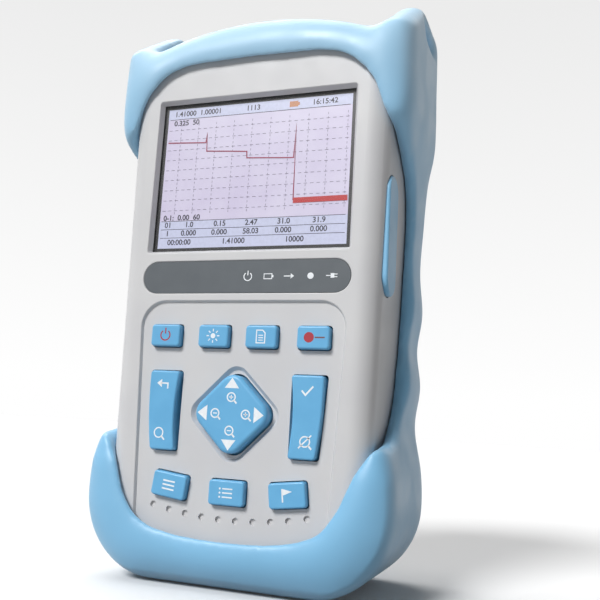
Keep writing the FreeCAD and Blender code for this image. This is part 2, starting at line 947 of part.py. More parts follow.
def build_rear_shell():
    """The rear half: a tray with the battery well, the stand's hinge pocket and screw bosses."""
    body = new_body("rear_shell")
    outline = front_sketch(body, size.parting_depth)
    add_outline(outline, case_corners(), size.case_corner)
    pad_rearward(body, outline, case_rear)
    round_edges(body, lambda point: point.y > SIZES["case_depth"] - NEAR, size.back_round)
    parting = SIZES["parting_depth"]
    hollow(body, lambda face: face.BoundBox.YMax < parting + NEAR, size.wall)
    inside = size.case_depth - size.wall + size.rib_reach

    boss_length = inside - size.parting_depth
    add_bosses(body, shell_boss_spots, size.shell_boss_radius, size.parting_depth, boss_length)
    well = front_sketch(body, size.well_floor_depth - size.well_wall)
    well_half = size.well_half + size.well_wall
    well_foot = size.well_bottom - size.well_wall
    add_rectangle(well, -well_half, well_half, well_foot, size.well_top + size.well_wall)
    pad_rearward(body, well, inside - size.well_floor_depth + size.well_wall)
    hinge_reach = size.hinge_barrel + size.hinge_wall
    block = front_sketch(body, hinge_depth() - hinge_reach)
    block_half = size.hinge_half + size.hinge_block
    add_rectangle(
        block, -block_half, block_half, size.hinge_level - hinge_reach, size.hinge_level + hinge_reach
    )
    pad_rearward(body, block, inside - hinge_depth() + hinge_reach)
    boss_length = size.door_boss_length - size.rib_reach
    boss_start = size.case_depth - size.door_boss_length
    add_bosses(body, door_screw_spots, size.shell_boss_radius, boss_start, boss_length)

    seat = front_sketch(body, size.case_depth)
    gap = size.slip_gap
    add_rectangle(
        seat,
        -size.door_half - gap,
        size.door_half + gap,
        size.door_bottom - gap,
        size.door_top + gap,
        size.door_corner,
    )
    pocket(body, seat, size.door_thick, forward=True)
    hole = front_sketch(body, size.case_depth)
    add_rectangle(hole, -size.well_half, size.well_half, size.well_bottom, size.well_top)
    pocket(body, hole, size.case_depth - size.well_floor_depth, forward=True)
    rear = size.case_depth
    drill(body, door_screw_spots, size.board_screw_radius, rear, size.door_screw_hole, forward=True)
    drill(body, shell_boss_spots, size.shell_screw_radius, rear, case_rear, forward=True)
    head_radius = size.shell_boss_radius - size.rib_reach
    drill(body, shell_boss_spots, head_radius, rear, size.shell_head_recess, forward=True)

    hinge = front_sketch(body, size.case_depth)
    reach = size.hinge_barrel + size.fit_gap
    low = size.hinge_level - reach
    add_rectangle(hinge, -size.hinge_half, size.hinge_half, low, size.hinge_level + reach)
    pocket(body, hinge, size.case_depth - hinge_depth() + reach, forward=True)
    pin = side_sketch(body, size.hinge_half + size.hinge_block / 2)
    add_circle(pin, hinge_depth(), size.hinge_level, size.hinge_pin_radius)
    pocket(body, pin, size.hinge_half * 2 + size.hinge_block)
    cut_plate_opening(body, size.parting_depth, size.plate_back)
    keep(body, "rear_shell")


def hinge_depth():
    """The depth of the stand's pin, so that its barrel just clears the back of the case."""
    return size.case_depth + size.fit_gap + size.stand_thick - size.hinge_barrel


# Boot


def flat_points(points):
    """Turn X and Z pairs into places on the front plane."""
    return [FreeCAD.Vector(x, 0, z) for x, z in points]


def spline_edge(points, start_direction=None, end_direction=None):
    """A smooth curve through a few places, with its end directions where they are given."""
    curve = Part.BSplineCurve()
    if start_direction is None:
        curve.interpolate(points)
    else:
        curve.interpolate(points, InitialTangent=start_direction, FinalTangent=end_direction)
    return curve.toShape()


def line_edge(start, end):
    return Part.LineSegment(start, end).toShape()


def arc_edge(start, middle, end):
    return Part.Arc(start, middle, end).toShape()


def boot_outline():
    """The boot's front outline: round foot, cup, finger grips, waist, shoulders and arched top."""
    number = SIZES
    upwards = FreeCAD.Vector(0, 0, 1)
    valley = number["waist_half"] - number["grip_bulge"] / 2
    bulge = number["waist_half"] + number["grip_bulge"]
    pitch = number["grip_pitch"]
    start = number["grip_start"]
    grips = []
    for turn_index in range(2):
        grips.append((valley, start + pitch * turn_index))
        grips.append((bulge, start + pitch * (turn_index + 0.5)))
    waist_top = start + pitch * 2
    shoulder_start = number["shoulder_bottom"] - number["shoulder_rise"]
    side_points = [(number["cup_half"], number["foot_round"])]
    side_points.append((number["cup_half"] - number["cup_draw"], (number["foot_round"] + start) / 2))
    side_points += grips
    side_points.append((number["waist_half"], waist_top))
    side_points.append((number["waist_half"] + number["waist_swell"], waist_top + number["waist_rise"]))
    side_points.append((number["shoulder_half"] - number["shoulder_draw"], shoulder_start))
    side_points.append((number["shoulder_half"], number["shoulder_bottom"]))

    foot_centre = FreeCAD.Vector(number["foot_half"], 0, number["foot_round"])
    foot_end = FreeCAD.Vector(number["foot_half"], 0, 0)
    slant = number["foot_round"] * math.sqrt(0.5)
    foot_middle = foot_centre + FreeCAD.Vector(slant, 0, -slant)
    cup_start = FreeCAD.Vector(number["cup_half"], 0, number["foot_round"])
    shoulder = FreeCAD.Vector(number["shoulder_half"], 0, number["shoulder_bottom"])

    band_centre = FreeCAD.Vector(0, 0, number["band_top"] - number["band_round"])
    corner_x = number["shoulder_half"] - number["shoulder_round"]
    inner_reach = number["band_round"] - number["shoulder_round"]
    corner_centre = band_centre + FreeCAD.Vector(corner_x, 0, math.sqrt(inner_reach ** 2 - corner_x ** 2))
    corner_start = corner_centre + FreeCAD.Vector(number["shoulder_round"], 0, 0)
    outward = (corner_centre - band_centre).normalize()
    corner_end = band_centre + outward * number["band_round"]
    between = (outward + FreeCAD.Vector(1, 0, 0)).normalize()
    corner_middle = corner_centre + between * number["shoulder_round"]
    band_middle = FreeCAD.Vector(0, 0, number["band_top"])

    right = [
        arc_edge(foot_end, foot_middle, cup_start),
        spline_edge(flat_points(side_points), upwards, upwards),
        line_edge(shoulder, corner_start),
        arc_edge(corner_start, corner_middle, corner_end),
    ]
    left = [edge.mirror(FreeCAD.Vector(), FreeCAD.Vector(1, 0, 0)) for edge in right]
    base = line_edge(foot_end, FreeCAD.Vector(-foot_end.x, 0, 0))
    band = arc_edge(corner_end, band_middle, FreeCAD.Vector(-corner_end.x, 0, corner_end.z))
    return Part.Wire(Part.sortEdges([base, band] + right + left)[0])


def ear_form(side):
    """One strap ear: it shares the boot's round corners, slopes up in front and is round on top."""
    number = SIZES
    front = -number["lip_proud"]
    back = number["boot_depth"]
    outer = number["shoulder_half"]
    inner = outer - number["ear_thick"]
    bottom = number["shoulder_bottom"] + number["ear_root"]
    block = Part.makeBox(
        number["ear_thick"], back - front, number["ear_top"], FreeCAD.Vector(inner, front, bottom)
    )
    outside = [edge for edge in block.Edges if edge.BoundBox.XMin > outer - NEAR]
    corners = [edge for edge in outside if edge.BoundBox.ZLength > edge.BoundBox.YLength]
    block = block.makeFillet(number["boot_round"], corners)
    profile_points = [
        FreeCAD.Vector(inner, front, bottom),
        FreeCAD.Vector(inner, back, bottom),
        FreeCAD.Vector(inner, back, number["ear_top"]),
        FreeCAD.Vector(inner, number["ear_slope_depth"], number["ear_top"]),
        FreeCAD.Vector(inner, front, number["ear_slope_start"]),
    ]
    profile = Part.Face(Part.makePolygon(profile_points + profile_points[:1]))
    profile = profile.extrude(FreeCAD.Vector(number["ear_thick"], 0, 0))
    crown = [edge for edge in profile.Edges if edge.BoundBox.ZMin > number["ear_top"] - NEAR]
    crown = [edge for edge in crown if edge.BoundBox.XLength > edge.BoundBox.YLength]
    ear = block.common(profile.makeFillet(number["ear_crown"], crown))
    rim = [
        edge
        for edge in ear.Edges
        if edge.BoundBox.ZMin > number["ear_slope_start"] - 0.5
        and edge.BoundBox.XMax > inner + 0.5
        and (edge.BoundBox.XLength < NEAR or edge.BoundBox.YLength > 0.5)
    ]
    ear = ear.makeFillet(number["ear_round"], rim)
    if side < 0:
        ear = ear.mirror(FreeCAD.Vector(), FreeCAD.Vector(1, 0, 0))
    return ear


def face_opening():
    """The opening in front: low and round over the foot, high over the display, cut into the lip only."""
    level = FreeCAD.Vector(1, 0, 0)
    lower = spline_edge(flat_points(FOOT_LIP), level, FreeCAD.Vector(0.7, 0, 1))
    upper = spline_edge(flat_points(BROW_LIP), FreeCAD.Vector(-0.35, 0, 1), -level)
    spare = SIZES["boot_cut_spare"]
    wide = SIZES["shoulder_half"] + spare
    foot_x, foot_z = FOOT_LIP[-1]
    brow_x, brow_z = BROW_LIP[0]
    corners = flat_points([(foot_x, foot_z), (wide, foot_z), (wide, brow_z), (brow_x, brow_z)])
    right = [lower, upper]
    right += [line_edge(first, second) for first, second in zip(corners, corners[1:])]
    left = [edge.mirror(FreeCAD.Vector(), FreeCAD.Vector(1, 0, 0)) for edge in right]
    wire = Part.Wire(Part.sortEdges(right + left)[0])
    prism = Part.Face(wire).extrude(FreeCAD.Vector(0, spare + SIZES["face_round"], 0))
    prism.translate(FreeCAD.Vector(0, -spare, 0))
    return prism


def side_opening():
    """The opening in each side, a long scoop that bares the case's flank, cut through both sides."""
    points = [FreeCAD.Vector(0, depth, level) for depth, level in FLANK_SCOOP]
    wire = Part.Wire([spline_edge(points), line_edge(points[-1], points[0])])
    inner = SIZES["scoop_inner_half"]
    outer = SIZES["shoulder_half"] + SIZES["boot_cut_spare"]
    right = Part.Face(wire).extrude(FreeCAD.Vector(outer - inner, 0, 0))
    right.translate(FreeCAD.Vector(inner, 0, 0))
    left = right.mirror(FreeCAD.Vector(), FreeCAD.Vector(1, 0, 0))
    return [right, left]


def rounded_prism(corner, right, upward, along, rounding):
    """A straight prism: a rectangle from a corner and its two sides, drawn out along a third direction."""
    opposite = corner + right + upward
    loop = Part.makePolygon([corner, corner + right, opposite, corner + upward, corner])
    prism = Part.Face(loop).extrude(along)
    long_edges = []
    for edge in prism.Edges:
        across = edge.tangentAt(edge.FirstParameter).cross(along)
        if across.Length < NEAR:
            long_edges.append(edge)
    return prism.makeFillet(rounding, long_edges)


def build_boot(case_form):
    """The rubber boot: outer form with ears, less the case, the openings, the wells and the slots."""
    number = SIZES
    front = -number["lip_proud"]
    outline = Part.Face(boot_outline())
    outline.translate(FreeCAD.Vector(0, front, 0))
    form = outline.extrude(FreeCAD.Vector(0, number["boot_depth"] - front, 0))
    rims = [
        edge
        for edge in form.Edges
        if edge.BoundBox.YMax < front + NEAR or edge.BoundBox.YMin > number["boot_depth"] - NEAR
    ]
    form = form.makeFillet(number["boot_round"], rims)
    form = form.fuse([ear_form(side) for side in LEFT_AND_RIGHT]).removeSplitter()

    spare = number["boot_cut_spare"]
    through = number["boot_depth"] - number["case_depth"] + number["back_round"]
    half = number["back_window_half"]
    window = rounded_prism(
        FreeCAD.Vector(-half, number["boot_depth"] - through, number["back_window_bottom"]),
        FreeCAD.Vector(half * 2, 0, 0),
        FreeCAD.Vector(0, 0, number["back_window_top"] - number["back_window_bottom"]),
        FreeCAD.Vector(0, through + spare, 0),
        number["back_window_corner"],
    )
    half = number["port_well_half"]
    floor = number["case_top"] - number["port_well_sink"]
    port_well = rounded_prism(
        FreeCAD.Vector(-half, number["port_well_front"], floor),
        FreeCAD.Vector(half * 2, 0, 0),
        FreeCAD.Vector(0, number["port_well_back"] - number["port_well_front"], 0),
        FreeCAD.Vector(0, 0, number["ear_top"] - floor),
        number["port_well_corner"],
    )
    reach = number["shoulder_half"] + spare
    height = number["strap_slot_height"]
    slot = rounded_prism(
        FreeCAD.Vector(-reach, number["strap_slot_front"], number["strap_slot_level"] - height / 2),
        FreeCAD.Vector(0, number["strap_slot_back"] - number["strap_slot_front"], 0),
        FreeCAD.Vector(0, 0, height),
        FreeCAD.Vector(reach * 2, 0, 0),
        height * ROUND_END,
    )
    form = form.cut([face_opening(), window, port_well, slot] + side_opening())
    blank = document.addObject("Part::Feature", "boot_blank")
    blank.Shape = form
    blank.Placement = FreeCAD.Placement(FreeCAD.Vector(0, face_y.number, 0), FreeCAD.Rotation())
    keep(cut("protective_boot", blank, case_form), "protective_boot")


# Display


def build_display():
    """The clear window in its seat, the display behind the frame, and the bracket that carries it."""
    window = new_body("display_window")
    outline = front_sketch(window, size.bezel_depth)
    add_rectangle(outline, -window_half, window_half, window_bottom, window_top, size.bezel_corner)
    pad_rearward(window, outline, size.window_thick)
    keep(window, "display_window")
    half = size.panel_width / 2
    panel_back = frame_depth + size.panel_thick
    keep(box("panel", -half, half, frame_depth, panel_back, panel_bottom, panel_top), "display_panel")
    bracket = new_body("display_bracket")
    plate = front_sketch(bracket, panel_back)
    add_rectangle(plate, -half, half, panel_bottom, panel_top)
    inner = half - size.board_boss_radius * 3
    step = size.board_boss_radius * 3
    add_rectangle(plate, -inner, inner, panel_bottom + step, panel_top - step, size.board_boss_radius)
    pad_rearward(bracket, plate, size.bracket_thick)
    legs = front_sketch(bracket, panel_back)
    leg_half = size.board_boss_radius
    for side in LEFT_AND_RIGHT:
        middle = (half - size.board_boss_radius * 2.5) * side
        for level in (panel_bottom + step / 2, panel_top - step / 2):
            add_rectangle(legs, middle - leg_half, middle + leg_half, level - leg_half, level + leg_half)
    pad_rearward(bracket, legs, size.main_board_depth - panel_back)
    keep(bracket, "display_bracket")


def build_strip():
    """The dark strip of indicators under the display, set into the face."""
    body = new_body("label_strip")
    gap = size.slip_gap
    outline = front_sketch(body, gap)
    add_rectangle(
        outline,
        gap - size.strip_half,
        size.strip_half - gap,
        strip_bottom + gap,
        strip_top - gap,
        strip_round - gap,
    )
    pad_rearward(body, outline, size.strip_thick)
    keep(body, "label_strip")


# Keypad


def build_pad():
    """The diamond pad and the gimbal that lets it rock both ways."""
    body = new_body("nav_pad")
    top = front_sketch(body, -size.pad_proud)
    pad_outline(size.pad_half)(top, 0, size.pad_corner)
    flange_depth = size.backing_depth + size.pad_dome
    pad_rearward(body, top, size.pad_proud + flange_depth)
    round_edges(body, lambda point: point.y < -SIZES["pad_proud"] + NEAR, size.pad_dome)
    flange = front_sketch(body, flange_depth)
    pad_outline(size.pad_half)(flange, size.pad_gap + size.slip_gap, size.pad_corner)
    pad_rearward(body, flange, size.mat_thick)
    socket = front_sketch(body, flange_depth + size.mat_thick)
    add_circle(socket, 0, size.pad_level, size.dome_radius + size.fit_gap)
    pocket(body, socket, flange_depth + size.mat_thick - size.pad_tilt_depth + size.fit_gap, forward=True)
    keep(body, "nav_pad")
    rocker = new_body("nav_rocker")
    post = front_sketch(rocker, size.pad_tilt_depth)
    add_circle(post, 0, size.pad_level, size.dome_radius)
    pad_rearward(rocker, post, size.mat_depth - size.pad_tilt_depth - size.fit_gap)
    keep(rocker, "nav_rocker")


def build_keypad():
    """The keys, the silicone mat behind them, its domes and their circuit board."""
    for name, outline in KEYS.items():
        build_key(name, outline)
    build_pad()
    half = size.key_board_half
    bottom = size.key_board_bottom
    top = size.key_board_top
    mat_back = size.mat_depth + size.mat_thick
    keep(box("mat", -half, half, size.mat_depth, mat_back, bottom, top), "keypad_mat")
    domes = new_body("dome_switches")
    discs = front_sketch(domes, mat_back)
    for x, level in KEY_CENTRES:
        add_circle(discs, x, level, size.dome_radius)
    reach = size.pad_half * PAD_DOME_SHARE
    for x, rise in ((-reach, 0), (reach, 0), (as_length(0), -reach), (as_length(0), reach)):
        add_circle(discs, x, size.pad_level + rise, size.dome_radius)
    domes_pad = pad_rearward(domes, discs, size.dome_thick)
    domes_pad.AllowMultiFace = True
    keep(domes, "dome_switches")
    board_back = key_board_depth + size.board_thick
    board = box("key_circuit", -half, half, key_board_depth, board_back, bottom, top)
    leg_half = size.board_boss_radius
    legs = []
    low_leg = size.main_board_bottom + size.key_board_leg_rise
    for name, low in (("low_leg", low_leg), ("high_leg", top - leg_half * 2)):
        high = low + leg_half * 2
        legs.append(box(name, -leg_half, leg_half, board_back, size.main_board_depth, low, high))
    keep(fuse("key_board", [board] + legs), "key_board")


# Inside


def build_boards():
    """The main board on its bosses, with its shield, buzzer and screws."""
    half = size.main_board_half
    board = new_body("main_board")
    outline = front_sketch(board, size.main_board_depth)
    add_rectangle(outline, -half, half, size.main_board_bottom, size.main_board_top, size.board_corner)
    pad_rearward(board, outline, size.board_thick)
    drill(board, board_boss_spots, size.board_screw_radius, size.main_board_depth, size.board_thick)
    keep(board, "main_board")
    shield = new_body("board_shield")
    lid = front_sketch(shield, main_board_back)
    add_rectangle(
        lid, size.shield_left, size.shield_right, size.shield_bottom, size.shield_top, size.shield_corner
    )
    pad_rearward(shield, lid, size.shield_height)
    keep(shield, "board_shield")
    height = size.buzzer_height
    front = size.main_board_depth - height
    keep(cylinder("buzzer_can", size.buzzer_radius, height, 0, front, size.buzzer_level, "y"), "buzzer")
    screws = []
    head_radius = size.board_boss_radius - size.slip_gap * 2
    shank_radius = size.board_screw_radius - size.thread_gap
    shank_length = size.board_screw_bite + size.board_thick
    shank_depth = size.main_board_depth - size.board_screw_bite
    for index, (x, z) in enumerate(mirrored_spots(board_boss_spots)):
        name = "board_screw_%d" % index
        head = cylinder(name + "_head", head_radius, size.screw_head_thick, x, main_board_back, z, "y")
        shank = cylinder(name + "_shank", shank_radius, shank_length, x, shank_depth, z, "y")
        screws.append(fuse(name, [head, shank]))
    keep(collect("board_screws", screws), "board_screws")


def build_optics():
    """The optical module behind the main board and the coil of test fibre on its bobbin."""
    module = new_body("optical_module")
    outline = front_sketch(module, main_board_back)
    half = size.module_half
    add_rectangle(outline, -half, half, size.module_bottom, size.module_top, size.board_corner)
    pad_rearward(module, outline, size.module_thick)
    keep(module, "optical_module")
    spool = new_body("fibre_spool", y=behind(main_board_back + size.module_thick), z=size.spool_level)
    profile = side_sketch(spool)
    start = as_length(0)
    end = size.spool_width
    cheek = size.spool_cheek
    add_outline(
        profile,
        [
            (start, size.spool_bore),
            (start, size.spool_radius),
            (cheek, size.spool_radius),
            (cheek, size.spool_core),
            (end - cheek, size.spool_core),
            (end - cheek, size.spool_radius),
            (end, size.spool_radius),
            (end, size.spool_bore),
        ],
    )
    feature = spool.newObject("PartDesign::Revolution", "spool_revolution")
    feature.Profile = profile
    axis = [item for item in spool.Origin.OriginFeatures if item.Role == "Y_Axis"][0]
    feature.ReferenceAxis = (axis, [""])
    feature.Angle = 360
    document.recompute()
    keep(spool, "fibre_spool")


def build_battery():
    """The battery in its well, its contacts, the door over it and the door's screws."""
    gap = size.fit_gap
    half = size.well_half - gap
    contact_bottom = size.well_top - size.contact_height
    pack_back = size.case_depth - size.door_thick - gap
    pack_front = size.well_floor_depth + gap
    pack = box("pack", -half, half, pack_front, pack_back, size.well_bottom + gap, contact_bottom - gap)
    keep(pack, "battery_pack")
    contacts = []
    reach = size.contact_half
    contact_back = size.case_depth - size.door_thick - size.contact_clear
    for index, step in enumerate((-1, 0, 1)):
        x = size.contact_pitch * step
        name = "contact_%d" % index
        front = size.well_floor_depth
        contacts.append(box(name, x - reach, x + reach, front, contact_back, contact_bottom, size.well_top))
    keep(collect("battery_contacts", contacts), "battery_contacts")
    door = new_body("battery_door")
    outline = front_sketch(door, size.case_depth - size.door_thick)
    add_rectangle(
        outline, -size.door_half, size.door_half, size.door_bottom, size.door_top, size.door_corner
    )
    pad_rearward(door, outline, size.door_thick)
    rear = size.case_depth
    drill(door, door_screw_spots, size.board_screw_radius, rear, size.door_thick, forward=True)
    drill(door, door_screw_spots, size.door_head_radius + gap, rear, size.door_head, forward=True)
    keep(door, "battery_door")
    screws = []
    shank_radius = size.board_screw_radius - size.thread_gap
    shank_length = size.door_screw_length - size.door_head / 2
    for index, (x, z) in enumerate(mirrored_spots(door_screw_spots)):
        name = "door_screw_%d" % index
        head_depth = rear - size.door_head
        head = cylinder(name + "_head", size.door_head_radius, size.door_head, x, head_depth, z, "y")
        shank_depth = rear - size.door_screw_length
        shank = cylinder(name + "_shank", shank_radius, shank_length, x, shank_depth, z, "y")
        screws.append(fuse(name, [head, shank]))
    keep(collect("battery_door_screws", screws), "battery_door_screws")


def build_case_screws():
    """The long screws that close the case, and the seal between its halves."""
    screws = []
    head_radius = size.shell_boss_radius - size.rib_reach - size.slip_gap * 2
    head_depth = size.case_depth - size.shell_head_recess
    shank_radius = size.shell_screw_radius - size.thread_gap
    shank_depth = size.parting_depth - size.shell_screw_bite
    for index, (x, z) in enumerate(mirrored_spots(shell_boss_spots)):
        name = "shell_screw_%d" % index
        head = cylinder(name + "_head", head_radius, size.shell_head_thick, x, head_depth, z, "y")
        shank = cylinder(name + "_shank", shank_radius, head_depth - shank_depth, x, shank_depth, z, "y")
        screws.append(fuse(name, [head, shank]))
    keep(collect("shell_screws", screws), "shell_screws")
    gasket = new_body("shell_gasket")
    ring = front_sketch(gasket, size.parting_depth - size.gasket_thick)
    draw_gasket(ring)
    pad_rearward(gasket, ring, size.gasket_thick)
    cut_plate_opening(gasket, size.plate_front, size.parting_depth)
    keep(gasket, "shell_gasket")


# Ports on the top


def build_end_plate():
    """The connector plate, caught between the two halves of the case."""
    body = new_body("end_plate")
    gap = size.slip_gap
    flange = size.plate_flange
    outline = plan_sketch(body, size.case_top)
    add_rectangle(
        outline, gap - size.plate_half, size.plate_half - gap, size.plate_front + gap, size.plate_back - gap
    )
    pad(body, outline, size.wall + gap, back=True)
    lower = plan_sketch(body, size.case_top - size.wall - gap)
    half = size.plate_half - size.plate_lower_inset
    add_rectangle(lower, -half, half, size.plate_front - flange, size.plate_back + flange)
    pad(body, lower, size.wall, back=True)
    holes = plan_sketch(body, size.case_top)
    for side in LEFT_AND_RIGHT:
        add_circle(holes, size.port_offset * side, size.port_depth, size.adapter_body)
    pocket(body, holes, size.wall * 2 + gap)
    keep(body, "end_plate")


def build_optical_port(side, prefix):
    """One optical port: a flanged adapter, the sleeve that lines up two ferrules, and its dust cap."""
    x = size.port_offset * side
    y = behind(size.port_depth)
    adapter = new_body(prefix + "_adapter", x, y, size.case_top)
    flange = plan_sketch(adapter)
    half = size.adapter_flange / 2
    add_rectangle(flange, -half, half, -half, half, size.adapter_corner)
    pad(adapter, flange, size.adapter_flange_thick)
    barrel = plan_sketch(adapter, size.adapter_flange_thick)
    add_circle(barrel, 0, 0, size.adapter_barrel)
    pad(adapter, barrel, size.adapter_rise - size.adapter_flange_thick)
    tail = plan_sketch(adapter)
    add_circle(tail, 0, 0, size.adapter_body - size.slip_gap)
    pad(adapter, tail, size.adapter_drop, back=True)
    bore = plan_sketch(adapter, size.adapter_rise)
    sleeve_radius = size.sleeve_bore + size.sleeve_wall
    add_circle(bore, 0, 0, sleeve_radius)
    pocket(adapter, bore, size.adapter_rise + size.adapter_drop)
    keep(adapter, prefix + "_adapter")

    sleeve_top = size.case_top + size.adapter_rise - size.sleeve_sink
    sleeve = new_body(prefix + "_sleeve", x, y, sleeve_top - size.sleeve_length)
    ring = plan_sketch(sleeve)
    add_circle(ring, 0, 0, sleeve_radius)
    add_circle(ring, 0, 0, size.sleeve_bore)
    pad(sleeve, ring, size.sleeve_length)
    keep(sleeve, prefix + "_sleeve")

    cap = new_body(prefix + "_cap", x, y, size.case_top + size.adapter_flange_thick + size.slip_gap)
    profile = sketch_on(cap, "XZ_Plane")
    inner = size.adapter_barrel + size.fit_gap
    outer = inner + size.cap_wall
    roof = size.adapter_rise - size.adapter_flange_thick + size.slip_gap
    corners = [
        (inner, as_length(0)),
        (outer, as_length(0)),
        (outer, size.cap_height),
        (as_length(0), size.cap_height),
        (as_length(0), roof),
        (inner, roof),
    ]
    add_outline(profile, corners)
    turn(cap, profile)
    keep(cap, prefix + "_cap")


def build_adapter_screws():
    """Two screws hold each adapter's flange on the plate."""
    screws = []
    reach = size.adapter_flange / 2 - size.port_screw_inset
    radius = size.port_screw_radius
    thick = size.port_screw_thick
    seat = size.case_top + size.adapter_flange_thick
    for side in LEFT_AND_RIGHT:
        for step in LEFT_AND_RIGHT:
            name = "port_screw_%d" % len(screws)
            x = size.port_offset * side + reach * step
            depth = size.port_depth + reach * step
            screws.append(cylinder(name, radius, thick, x, depth, seat, "z"))
    keep(collect("adapter_screws", screws), "adapter_screws")


# Ports on the side


def build_side_ports():
    """The sockets on the board's edge behind the side cover."""
    front = size.port_row_depth - size.port_body / 2
    back = size.port_row_depth + size.port_body / 2
    mouth = case_half_at(SIZES["jack_level"]) - size.side_boss_reach + size.wall
    for name, (level, height) in SIDE_PORTS.items():
        body = new_body(name)
        outline = side_sketch(body, mouth)
        low = level - height / 2
        high = level + height / 2
        add_rectangle(outline, front, back, low, high, size.port_corner)
        pad(body, outline, size.port_reach, back=True)
        opening = side_sketch(body, mouth)
        if name == "dc_jack":
            add_circle(opening, size.port_row_depth, level, size.jack_bore)
        else:
            edge = size.port_shell
            add_rectangle(opening, front + edge, back - edge, low + edge, high - edge)
        pocket(body, opening, size.port_reach - size.port_end)
        keep(body, name)


def build_side_cover():
    """The rubber cover over the side ports; it swings about the outer corner of its rear edge."""
    side_wall = case_half_at((SIZES["cover_bottom"] + SIZES["cover_top"]) / 2)
    body = new_body("side_port_cover")
    outline = side_sketch(body, side_wall + size.cover_proud)
    rounding = size.cover_width * ROUND_END
    add_rectangle(outline, cover_front, cover_back, size.cover_bottom, size.cover_top, rounding)
    pad(body, outline, size.cover_thick, back=True)
    outer = side_wall.number + SIZES["cover_proud"]
    inner = outer - SIZES["cover_thick"]
    round_edges(body, lambda point: point.x < inner + NEAR, size.cover_thick * INNER_ROUND)
    round_edges(body, lambda point: point.x > outer - NEAR, size.cover_proud * OUTER_ROUND)
    keep(body, "side_port_cover")


# Back


def build_stand():
    """The folding stand: a framed plate with a barrel at its top edge, and the pin it turns on."""
    body = new_body("rear_stand")
    front = size.case_depth + size.fit_gap
    plate = front_sketch(body, front)
    top = size.hinge_level
    plate_top = top - size.hinge_barrel - size.stand_drop
    add_rectangle(
        plate, -size.stand_half, size.stand_half, size.stand_bottom, plate_top, size.stand_corner
    )
    pad_rearward(body, plate, size.stand_thick)
    neck = front_sketch(body, front)
    neck_half = size.hinge_half - size.fit_gap
    add_rectangle(neck, -neck_half, neck_half, top - size.hinge_barrel - size.stand_neck, top)
    pad_rearward(body, neck, size.stand_thick)
    barrel = side_sketch(body, neck_half)
    add_circle(barrel, hinge_depth(), size.hinge_level, size.hinge_barrel)
    pad(body, barrel, neck_half * 2, back=True)
    window = front_sketch(body, front)
    inner = size.stand_half - size.stand_bar
    low = size.stand_window_bottom
    add_rectangle(window, -inner, inner, low, size.stand_window_top, size.stand_window_corner)
    pocket(body, window, size.stand_thick)
    bore = side_sketch(body, neck_half)
    add_circle(bore, hinge_depth(), size.hinge_level, size.hinge_pin_radius + size.hinge_clearance)
    pocket(body, bore, neck_half * 2)
    keep(body, "rear_stand")
    pin_half = size.hinge_half + size.hinge_block / 2
    pin = cylinder(
        "hinge_pin", size.hinge_pin_radius, pin_half * 2, -pin_half, hinge_depth(), size.hinge_level, "x"
    )
    keep(pin, "stand_hinge_pin")


build_front_shell()
build_rear_shell()
build_boot(build_case_form())
build_display()
build_strip()
build_keypad()
build_boards()
build_optics()
build_battery()
build_case_screws()
build_end_plate()
build_optical_port(-1, "otdr")
build_optical_port(1, "fault_locator")
build_adapter_screws()
build_side_ports()
build_side_cover()
build_stand()
document.recompute()

for item in document.Objects:
    if "Invalid" in item.State or "Error" in item.State:
        raise RuntimeError("%s did not build: %s" % (item.Name, item.State))
os.makedirs("parts", exist_ok=True)
for item in parts:
    if item.Shape.isNull() or not item.Shape.isValid():
        raise RuntimeError("%s has no valid shape" % item.Label)
    item.Shape.exportStep("parts/%s.step" % item.Label)
print("%d sub-parts written" % len(parts))
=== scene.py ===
# %% [markdown]
# # A handheld fibre tester in its rubber boot
#
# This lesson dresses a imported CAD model: a two-part plastic case with a display and a keypad, held in a
# soft rubber boot with two strap ears. The CAD nodes are the frame and never move. Most rigid pieces keep
# their CAD shape and get a finish. The boot, the two tall keys, the picture on the display and the print on
# the keys are new pieces. Blender works in metres, but the values below are in millimetres, as on a
# drawing.

import json

import bmesh
import bpy
import numpy as np
from mathutils import Euler, Matrix, Vector

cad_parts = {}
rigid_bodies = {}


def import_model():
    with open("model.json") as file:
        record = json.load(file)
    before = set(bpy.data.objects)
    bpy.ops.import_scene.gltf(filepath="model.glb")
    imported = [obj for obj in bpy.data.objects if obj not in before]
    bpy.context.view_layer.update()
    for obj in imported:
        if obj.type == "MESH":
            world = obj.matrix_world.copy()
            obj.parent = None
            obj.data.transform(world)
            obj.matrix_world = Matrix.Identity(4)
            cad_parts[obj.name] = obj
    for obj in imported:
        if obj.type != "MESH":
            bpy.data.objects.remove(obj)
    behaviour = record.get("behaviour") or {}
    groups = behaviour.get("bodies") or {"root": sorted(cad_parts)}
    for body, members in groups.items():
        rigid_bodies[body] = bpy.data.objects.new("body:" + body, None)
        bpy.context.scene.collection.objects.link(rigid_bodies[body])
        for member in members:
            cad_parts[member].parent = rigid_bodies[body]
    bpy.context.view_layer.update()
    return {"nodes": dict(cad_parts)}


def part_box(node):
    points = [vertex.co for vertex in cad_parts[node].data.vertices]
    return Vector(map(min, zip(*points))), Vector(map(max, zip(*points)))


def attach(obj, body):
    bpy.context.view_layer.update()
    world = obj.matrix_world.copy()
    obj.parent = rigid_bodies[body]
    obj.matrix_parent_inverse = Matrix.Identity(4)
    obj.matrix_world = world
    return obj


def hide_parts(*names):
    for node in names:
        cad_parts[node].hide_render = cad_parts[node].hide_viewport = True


MM = 0.001

for leftover in list(bpy.data.objects):
    bpy.data.objects.remove(leftover, do_unlink=True)
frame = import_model()
nodes = frame["nodes"]
scene = bpy.context.scene

# %% [markdown]
# ## Camera
#
# The photograph was taken from the right and a little below the middle, close enough for strong
# perspective. The lens and the direction come from lining up known points, such as the corners of the
# display, with the photograph. A small shift stands for the photograph's framing.

